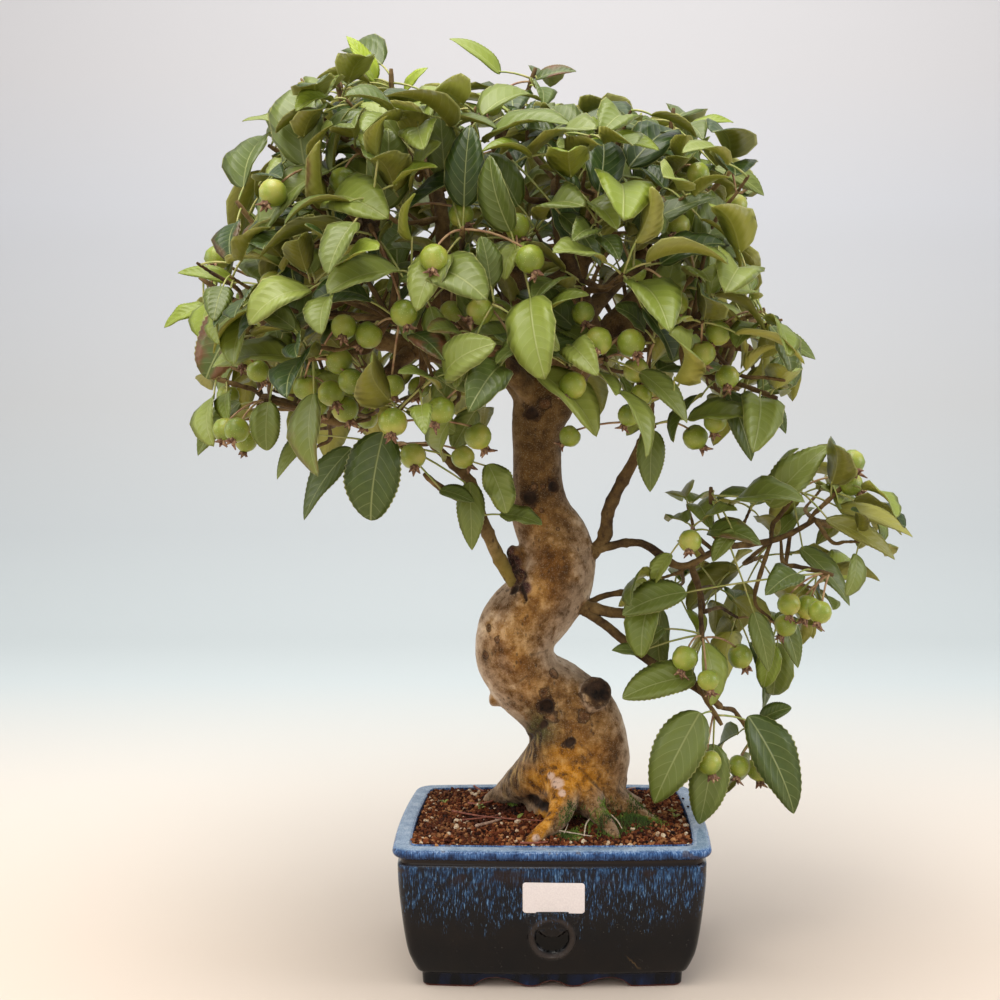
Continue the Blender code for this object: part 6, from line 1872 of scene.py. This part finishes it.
def stalk_lines(leaves, fruits):
    """The leaf stalks, which taper to the blade, and the fruit stalks. Comes with a value per point that
    is 1 on the fruit stalks."""
    shapes = []
    for _, stem, base, tip, *_ in leaves:
        inner = base + (tip - base) * 0.06
        shapes.append(thin_stalk(stem, inner, 0.0015, 0.00085, 0.0006, 5, 4))
    fruit_part = len(shapes)
    for middle, down, radius, top in fruits:
        neck = middle - down * radius * 0.72
        shapes.append(thin_stalk(top, neck, 0.0035, 0.00085, 0.00075, 8, 5))
    counts = [len(points) for points, _ in shapes]
    points, faces = joined(shapes)
    brown = np.concatenate([np.full(count, 1.0 if k >= fruit_part else 0.0) for k,
                            count in enumerate(counts)])
    return points, faces, brown


model_trees = nodes_points()
model_leaves = leaves_of_model(model_trees)
fruits = fruits_of_model(model_trees)
standing = Standing()
for leaf in model_leaves:
    standing.add(blade_grid(*leaf[2:6], leaf[7]), GRID_FACES)
for middle, _, radius, _ in fruits:
    standing.add(middle + radius * 1.05 * BALL, BALL_FACES)
standing.add(points_of(limb_wood), faces_of(limb_wood))
fruits += more_fruits(standing, [(u, v, front_depth(u, v)) for u, v in MORE_FRUITS])
hidden = random.Random(8)
behind = [(hidden.uniform(*HIDDEN_ACROSS), hidden.uniform(*HIDDEN_UP)) for _ in range(60)]
behind = [(u, v, -HIDDEN_DEPTH * front_depth(u, v)) for u,
          v in behind if inside(CROWN_MASS, u, v)][:HIDDEN_FRUITS]
fruits += more_fruits(standing, behind)
seen_fruits = [tuple(map(float, shown(middle))) for middle, *_ in fruits if middle[1] < 0.02]
added_leaves = spur_leaves(standing, seen_fruits)
leaves = model_leaves + added_leaves
finish = leaf_finish()
crown_nodes = ["leafy_shoot_%02d" % (k + 1) for k in range(len(SHOOTS)) if not on_main_branch(k)]
branch_nodes = ["leafy_shoot_%02d" % (k + 1) for k in range(len(SHOOTS)) if on_main_branch(k)]
first_branch_spur = len(main_shoots) + len(crown_spurs)
on_branch = [on_main_branch(leaf[0]) or leaf[0] >= first_branch_spur for leaf in leaves]
LEAF_PIECES = (
    # name, whether on the branch and whether of the leaves that stand out, solids replaced, seed
    ("crown_leaves", (False, False), crown_nodes, 21),
    ("branch_leaves", (True, False), branch_nodes, 22),
    ("large_crown_leaves", (False, True), crown_nodes, 23),
    ("large_branch_leaves", (True, True), branch_nodes, 24))
for name, wants, nodes, seed in LEAF_PIECES:
    chosen = [leaf for leaf, there in zip(leaves, on_branch) if (there, len(leaf) > 8) == wants]
    item = leaf_piece(name, chosen, finish, seed, FINE_STATIONS if wants[1] else LEAF_STATIONS)
    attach(item, "root")
    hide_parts(*nodes)

# The fruits. Small firm apples, 16 to 20 mm, yellow green with fine pale dots, a little ribbed, sunk where
# the stalk enters and tipped with the dry brown calyx of the flower. Each hangs on a long thin stalk.
fruit_skin, tree, shader = new_finish("fruit_skin", Roughness=0.34, Specular_IOR_Level=0.5,
                                      Subsurface_Weight=0.12, Subsurface_Scale=0.004)
place = add(tree, "TexCoord", result=3)
broad = noise(place, 55.0)
dots = rise_between(add(tree, "TexVoronoi", Vector=place, Scale=700.0), 0.22, 0.12)
skin = ramp(broad, (0.35, "#74842a"), (0.52, "#8d9a35"), (0.7, "#b0ae50"))
feed(shader, Base_Color=blend(dots * 0.35, skin, "#d5d99a"))
fruit_piece = piece_of("fruit_bodies", *fruit_bodies(fruits), fruit_skin)
calyx_skin, tree, shader = new_finish("dry_calyx", Roughness=0.85)
place = add(tree, "TexCoord", result=3)
rough = noise(place, 400.0, 3.0)
feed(shader, Base_Color=ramp(rough, (0.3, "#452c20"), (0.5, "#7d5b45"), (0.7, "#b89873")))
calyx_piece = piece_of("dry_calyxes", *calyx_bits(fruits), calyx_skin)
stalk_skin, tree, shader = new_finish("stalk_skin", Roughness=0.6)
brown = stored(tree, "brown")
place = add(tree, "TexCoord", result=3)
rough = noise(place, 160.0, 3.0)
green = ramp(rough, (0.35, "#8c9a4a"), (0.65, "#b0a968"))
tan = ramp(rough, (0.35, "#8a6248"), (0.65, "#b09468"))
feed(shader, Base_Color=blend(brown, green, tan))
stalk_points, stalk_faces, stalk_brown = stalk_lines(leaves, fruits)
stalk_piece = piece_of("leaf_and_fruit_stalks", stalk_points, stalk_faces, stalk_skin)
set_values(stalk_piece, brown=stalk_brown)
spur_shapes = [tube(np.array([shoot["begin"] + shoot["heading"] * shoot["length"] * share
                              for share in np.linspace(0, 1, 7)]),
                    SHOOT_RADIUS * (SPUR_THIN if shoot["length"] == SPUR_LENGTH else 1.0)
                    * np.array((1.0, 0.85, 1.1, 0.85, 1.05, 0.95, 0.7)), 8) for shoot in all_shoots]
spur_points, spur_faces = joined(spur_shapes)
spur_piece = piece_of("shoot_stems", spur_points, spur_faces, bark_finish)
bare_spur = {name: np.zeros(len(spur_points)) for name in
             ("warm", "dark", "rough", "olive", "tan", "pale", "upper", "dead", "fibre", "bleached")}
set_values(spur_piece, young=np.ones(len(spur_points)), scar=np.full(len(spur_points), 3.0), **bare_spur)
for item in (fruit_piece, calyx_piece, stalk_piece, spur_piece):
    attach(item, "root")
    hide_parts(*crown_nodes, *branch_nodes)

# The soil. Baked-clay granules, 2 to 4 mm across, reddish brown, with pale bits of pumice among them. It
# fills the pot to just below the rim and rises to the trunk. Moss, dry twigs, rootlets and seedlings lie
# and grow on it.
SOIL_RINGS = ((0.0336, 0.0223), (0.0206, 0.0410), (0.0156, 0.0710), (0.0140, 0.0990), (0.0136, 0.1012))
SOIL_TOP_RINGS = 46
SOIL_HALF = (0.1010, 0.0757)
SOIL_LEVEL = 0.1010
SOIL_MOUND = 0.004                      # how much higher it lies at the trunk
SOIL_IN = 0.0136                        # the granules stay this far inside the rim's face
GRAIN_STEP = 0.0018
PUMICE_SHARE = 0.038
MOSS_PATCHES = (
    # middle in pixels, half width and half depth, and how high the ground is raised there
    ((590, 812), 0.022, 0.017, 0.0085), ((638, 820), 0.021, 0.016, 0.0060),
    ((612, 828), 0.021, 0.015, 0.0030), ((515, 804), 0.0060, 0.0080, 0.0035),
    ((570, 833), 0.012, 0.012, 0.0008), ((600, 828), 0.014, 0.012, 0.0), ((636, 826), 0.018, 0.011, 0.0))
MOSS_ON_ROOTS = (
    (576, 816, 16), (592, 826, 13), (606, 812, 12), (628, 812, 16), (650, 820, 14), (514, 802, 8))
# Darker soil round the trunk's foot, partly wet and partly painted shadow in the hollow under the flange:
# pixel and reach in metres.
DARK_GROUND = (
    (515, 815, 0.024), (478, 822, 0.014), (575, 828, 0.022), (540, 805, 0.020), (610, 838, 0.014))
MOSS_STEP = 0.00095
TWIGS = (
    # pixels along each dry twig, its thickness, how high it lies, and whether it is a pale rootlet
    (((452, 811), (480, 816), (512, 819), (548, 821)), 0.0008, 0.0030, 0.0),
    (((462, 820), (490, 817), (506, 812)), 0.0007, 0.0022, 0.0),
    (((468, 803), (478, 804), (492, 801), (505, 793), (511, 786)), 0.0009, 0.0030, 0.0),
    (((474, 786), (479, 789), (484, 791)), 0.0009, 0.0035, 0.0),
    (((476, 826), (492, 822), (504, 818)), 0.0013, 0.0020, 0.5),
    (((552, 830), (566, 832), (578, 834), (590, 836)), 0.0006, 0.0030, 1.0),
    (((568, 824), (566, 829), (564, 834)), 0.0005, 0.0040, 1.0),
    (((590, 816), (586, 824), (584, 837)), 0.0007, 0.0045, 1.0),
    (((588, 797), (594, 800), (600, 804)), 0.0008, 0.0120, 1.0),
    (((611, 814), (617, 817), (622, 820)), 0.0006, 0.0060, 1.0),
    (((622, 793), (628, 789), (635, 787)), 0.0008, 0.0050, 0.4),
    (((520, 843), (536, 843), (548, 842)), 0.0010, 0.0025, 0.0))
SEEDLINGS = ((479, 806), (481, 809), (444, 803), (672, 812), (676, 817), (577, 841), (619, 806), (517, 819))
CRUMBS_ON_RIM = ((683, 798), (688, 806))
RIM_TOP = 0.1045


def patch_shares(x, y):
    """For each moss patch how near its middle places are, 1 there and 0 far off, and its lift."""
    for (u, v), wide, deep, lift in MOSS_PATCHES:
        middle = on_level(u, v, SOIL_LEVEL + SOIL_MOUND + 0.5 * lift)
        yield np.exp(-((x - middle[0]) / wide) ** 2 - ((y - middle[1]) / deep) ** 2), lift


def soil_height(x, y):
    """The soil's height at places given from the pot's centre: its level at the wall, the mound, the
    raised patches of moss, and soft unevenness."""
    share = np.clip(np.maximum(np.abs(x) / SOIL_HALF[0], np.abs(y) / SOIL_HALF[1]), 0, 1)
    height = SOIL_LEVEL + SOIL_MOUND * (1 - share ** 2)
    for share_there, lift in patch_shares(x, y):
        height = height + lift * share_there
    places = np.column_stack((np.ravel(x), np.ravel(y), np.zeros(np.size(x))))
    soft = 0.0009 * value_noise(places * 90, 21) + 0.0005 * value_noise(places * 260, 22)
    return height + soft.reshape(np.shape(x)) * (1 - share ** 8)


def on_level(u, v, height):
    """Where a pixel's ray meets a level plane, from the pot's centre."""
    near, far = seen(u, v, -0.2) - POT_AT, seen(u, v, 0.2) - POT_AT
    share = (height - near[2]) / (far[2] - near[2])
    return near + (far - near) * share


def on_soil(u, v, lift):
    """The point on the soil, or lift above it, that the view shows at a pixel."""
    height = SOIL_LEVEL + SOIL_MOUND
    for _ in range(4):
        place = on_level(u, v, height + lift)
        height = float(soil_height(place[:1], place[1:2])[0])
    return POT_AT + (place[0], place[1], height + lift)


def soil_shape():
    """The soil's closed body: rings up the pot's inside, then rings that shrink to the middle over its
    uneven top."""
    wall = pot_rings([inset for inset, _ in SOIL_RINGS], [height for _, height in SOIL_RINGS])
    edge = wall[-1]
    shares = np.linspace(1, 0, SOIL_TOP_RINGS + 1)[1:-1, None]
    top = np.stack((edge[None, :, 0] * shares, edge[None, :, 1] * shares,
                    np.zeros((len(shares), len(edge)))), -1)
    top[..., 2] = soil_height(top[..., 0], top[..., 1])
    rings = np.concatenate((wall, top))
    count, sides = rings.shape[:2]
    faces = ring_faces(count, sides).tolist()
    faces.append(list(range(sides))[::-1])
    faces.append(list(range((count - 1) * sides, count * sides)))
    return rings.reshape(-1, 3) + POT_AT, faces


def inside_rim(x, y, margin):
    """Whether places lie inside the pot's opening, a margin away from its wall."""
    half = POT_HALF - SOIL_IN - margin
    corner = CORNER_LEAST
    off_x, off_y = np.abs(x) - (half[0] - corner), np.abs(y) - (half[1] - corner)
    return np.hypot(np.clip(off_x, 0, None), np.clip(off_y, 0, None)) + np.minimum(
        np.maximum(off_x, off_y), 0) < corner


def moss_share(x, y):
    """How mossy a place is: 1 in a patch's middle and 0 outside it."""
    share = np.zeros(np.shape(x))
    for share_there, _ in patch_shares(x, y):
        share = np.maximum(share, share_there)
    return share


def scatter(step, margin, seed):
    """Places from the pot's centre, one near the middle of each cell of a square grid."""
    draw = np.random.default_rng(seed)
    x, y = np.meshgrid(np.arange(-0.105, 0.105, step), np.arange(-0.080, 0.080, step))
    x = x.ravel() + draw.uniform(-0.5, 0.5, x.size) * step
    y = y.ravel() + draw.uniform(-0.5, 0.5, y.size) * step
    keep = inside_rim(x, y, margin)
    return x[keep], y[keep], draw


def outside_wood(points, tree, deep=0.0):
    """Which points aren't inside the wood, or no deeper in it than the given depth."""
    keep = np.ones(len(points), bool)
    for k, point in enumerate(points):
        spot, way, *_ = tree.find_nearest(Vector(point), 0.02)
        if spot is not None and (Vector(point) - spot).dot(way) < -deep:
            keep[k] = False
    return keep


def granules(wood_tree):
    """Lumps with twelve corners, each squashed and turned at random, sunk by a third into the soil's top
    over the whole opening. Comes with each lump's shade, which is 2 or more for pumice."""
    x, y, draw = scatter(GRAIN_STEP, 0.0012, 31)
    mossy = moss_share(x, y)
    keep = draw.uniform(0, 1, len(x)) > np.clip(mossy * 1.8 - 0.5, 0, 0.96)
    x, y, mossy = x[keep], y[keep], mossy[keep]
    size = draw.uniform(0.0007, 0.0016, len(x)) * (1 + 0.5 * (draw.uniform(0, 1, len(x)) > 0.88))
    # Round the trunk's foot the granules are darker: partly wet soil, partly painted shadow in the hollow
    # under the flange.
    wet = np.max([np.exp(-((x - middle[0]) / reach) ** 2
                         - ((y - middle[1]) / (0.8 * reach)) ** 2) for middle,
                  reach in ((on_level(u, v, SOIL_LEVEL), far) for u, v, far in DARK_GROUND)], axis=0)
    shade = draw.uniform(0, 1, len(x)) * (1 - 0.85 * wet)
    pumice = draw.uniform(0, 1, len(x)) < PUMICE_SHARE * (1 - 0.6 * wet)
    shade[pumice] += 2.0
    size[pumice] *= 1.25
    z = soil_height(x, y) + size * draw.uniform(-0.1, 0.9, len(x))
    places = np.stack((x, y, z), -1) + POT_AT
    keep = outside_wood(places, wood_tree)
    places, size, shade = places[keep], size[keep], shade[keep]
    turn = draw.normal(size=(len(places), 3, 3))
    turn, _ = np.linalg.qr(turn)
    squash = draw.uniform(0.65, 1.2, (len(places), 1, 3))
    jitter = 1 + draw.uniform(-0.22, 0.22, (len(places), 12, 1))
    lumps = np.einsum("nij,nkj->nki", turn, BALL[None] * squash * jitter)
    lumps = lumps * size[:, None, None] + places[:, None]
    faces = (np.array(ball_faces())[None] + (12 * np.arange(len(places)))[:, None, None]).reshape(-1, 3)
    return lumps.reshape(-1, 3), faces, np.repeat(shade, 12)


def ball_faces():
    """The twenty-sided ball's faces, all turned outwards."""
    return [(a, b, c) if np.dot(np.cross(BALL[b] - BALL[a], BALL[c] - BALL[a]), BALL[a]) > 0 else (a, c, b)
            for a, b, c in BALL_FACES]


def moss_tufts(wood_tree):
    """Moss: three-sided needles, 1 to 3 mm tall, that stand close together on the raised patches and on
    the roots beside them."""
    x, y, draw = scatter(MOSS_STEP, 0.002, 41)
    mossy = moss_share(x, y)
    keep = draw.uniform(0, 1, len(x)) < np.clip(mossy * 2.8 - 0.7, 0, 1)
    x, y = x[keep], y[keep]
    places = np.stack((x, y, soil_height(x, y) - 0.0006), -1) + POT_AT
    keep = outside_wood(places, wood_tree, 0.002)
    on_roots = points_of(wood)
    share = spots_in_view(on_roots, MOSS_ON_ROOTS) * (ways_of(wood)[:, 2] > -0.2) * (on_roots[:, 2] < 0.128)
    share = share * (0.60 + 0.65 * value_noise(on_roots * 130, 77))
    keep_roots = draw.uniform(0, 1, len(on_roots)) < np.clip(share * 2.4 - 0.25, 0, 1)
    places = np.vstack((places[keep], on_roots[keep_roots] - (0, 0, 0.0005)))
    count = len(places)
    tall = draw.uniform(0.0014, 0.0032, (count, 1))
    lean = draw.uniform(-0.0012, 0.0012, (count, 3)) * (1, 1, 0)
    turn = draw.uniform(0, 2 * math.pi, (count, 1)) + np.array((0, 2.1, 4.2))
    ring = np.stack((np.cos(turn), np.sin(turn), np.zeros_like(turn)), -1) * 0.00055
    tips = places + lean + tall * np.array((0, 0, 1.0))
    points = np.concatenate((places[:, None] + ring, tips[:, None]), axis=1)
    faces = np.array(((0, 1, 3), (1, 2, 3), (2, 0, 3), (0, 2, 1)))
    faces = (faces[None] + (4 * np.arange(count))[:, None, None]).reshape(-1, 3)
    tone = np.tile((0.0, 0.0, 0.0, 1.0), count) * np.repeat(draw.uniform(0.4, 1.0, count), 4)
    return points.reshape(-1, 3), faces, tone


soil_finish, tree, shader = new_finish("baked_clay", Roughness=0.92, Specular_IOR_Level=0.25)
place = add(tree, "TexCoord", result=3)
shade = stored(tree, "shade")
fine = noise(place, 520.0, 4.0, 0.65)
broad = noise(place, 26.0)
clay = ramp(shade, (0.0, "#120704"), (0.25, "#481f0a"), (0.65, "#814321"), (1.0, "#c08a58"))
clay = blend(rise_between(fine, 0.45, 0.62) * 0.4, clay, "#4a2014")
clay = blend(rise_between(broad, 0.48, 0.62) * 0.4, clay, "#34190e")
pale = blend(rise_between(fine, 0.4, 0.6), "#b99a78", "#e0cfb4")
clay = blend(rise_between(shade, 1.4, 1.6), clay, pale)
feed(shader, Base_Color=clay)
feed(shader, Normal=add(tree, "Bump", Height=fine, Strength=0.6, Distance=0.0006))
soil = piece_of("soil_body", *soil_shape(), soil_finish)
set_values(soil, shade=np.full(len(soil.data.vertices), 0.12))
wood_tree = search_tree(points_of(wood), faces_of(wood))
grain_points, grain_faces, grain_shade = granules(wood_tree)
grains = piece_of("soil_granules", grain_points, grain_faces, soil_finish, smooth=False)
set_values(grains, shade=grain_shade)
moss_finish, tree, shader = new_finish("moss", Roughness=0.85)
tone = stored(tree, "tone")
place = add(tree, "TexCoord", result=3)
broad = noise(place, 60.0)
dark_moss = blend(tone, "#1d2b0c", "#567524")
light_moss = blend(tone, "#3a5212", "#9dbb48")
feed(shader, Base_Color=blend(rise_between(broad, 0.42, 0.58), dark_moss, light_moss))
moss_points, moss_faces, moss_tone = moss_tufts(wood_tree)
moss = piece_of("moss_tufts", moss_points, moss_faces, moss_finish, smooth=False)
set_values(moss, tone=moss_tone)
dry, tree, shader = new_finish("dry_twigs", Roughness=0.7)
pale = stored(tree, "pale")
place = add(tree, "TexCoord", result=3)
fine = noise(place, 300.0, 3.0)
reddish = ramp(fine, (0.35, "#6e3426"), (0.65, "#a0604a"))
white = ramp(fine, (0.35, "#a5927c"), (0.65, "#d8c8b0"))
feed(shader, Base_Color=blend(pale, reddish, white))
shapes, paleness = [], []
for pixels, thick, lift, pale_share in TWIGS:
    line = smooth_line(np.array([on_soil(u, v, lift) for u, v in pixels]), 5 * len(pixels))
    shapes.append(tube(line, thick * np.linspace(1.0, 0.6, len(line)), 6))
    paleness.append(np.full(len(shapes[-1][0]), pale_share))
twigs = piece_of("dry_twigs_and_rootlets", *joined(shapes), dry)
set_values(twigs, pale=np.concatenate(paleness))
seed_leaves = []
for number, (u, v) in enumerate(SEEDLINGS):
    root = on_soil(u, v, 0.0015)
    for k in range(1 if number == len(SEEDLINGS) - 1 else 4):
        turn = 1.6 * k + number
        way = np.array((math.cos(turn), math.sin(turn), 0.5 + 0.3 * (k % 2)))
        length = 0.0065 if number == len(SEEDLINGS) - 1 else 0.0034
        seed_leaves.append((0, root, root + way * 0.0006, root + way * length, np.array((0, -0.5, 1.0)),
                            length * 0.5, 0.1, 0.2))
seedlings = leaf_piece("seedlings", seed_leaves, finish, 61)
crumb_places = [POT_AT + on_level(u, v, RIM_TOP) * (1, 1, 0) + (0, 0, RIM_TOP - 0.0003)
                for u, v in CRUMBS_ON_RIM]
crumb_points = np.concatenate([BALL * (0.0013, 0.0019, 0.0007) + spot for spot in crumb_places])
crumb_faces = np.concatenate([np.array(ball_faces()) + 12 * k for k in range(len(crumb_places))])
crumbs = piece_of("crumbs_on_rim", crumb_points, crumb_faces, soil_finish, smooth=False)
set_values(crumbs, shade=np.full(len(crumb_points), 0.0))
for item in (soil, grains):
    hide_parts("soil")
for item in (soil, grains, moss, twigs, crumbs):
    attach(item, "root")
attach(seedlings, "root")
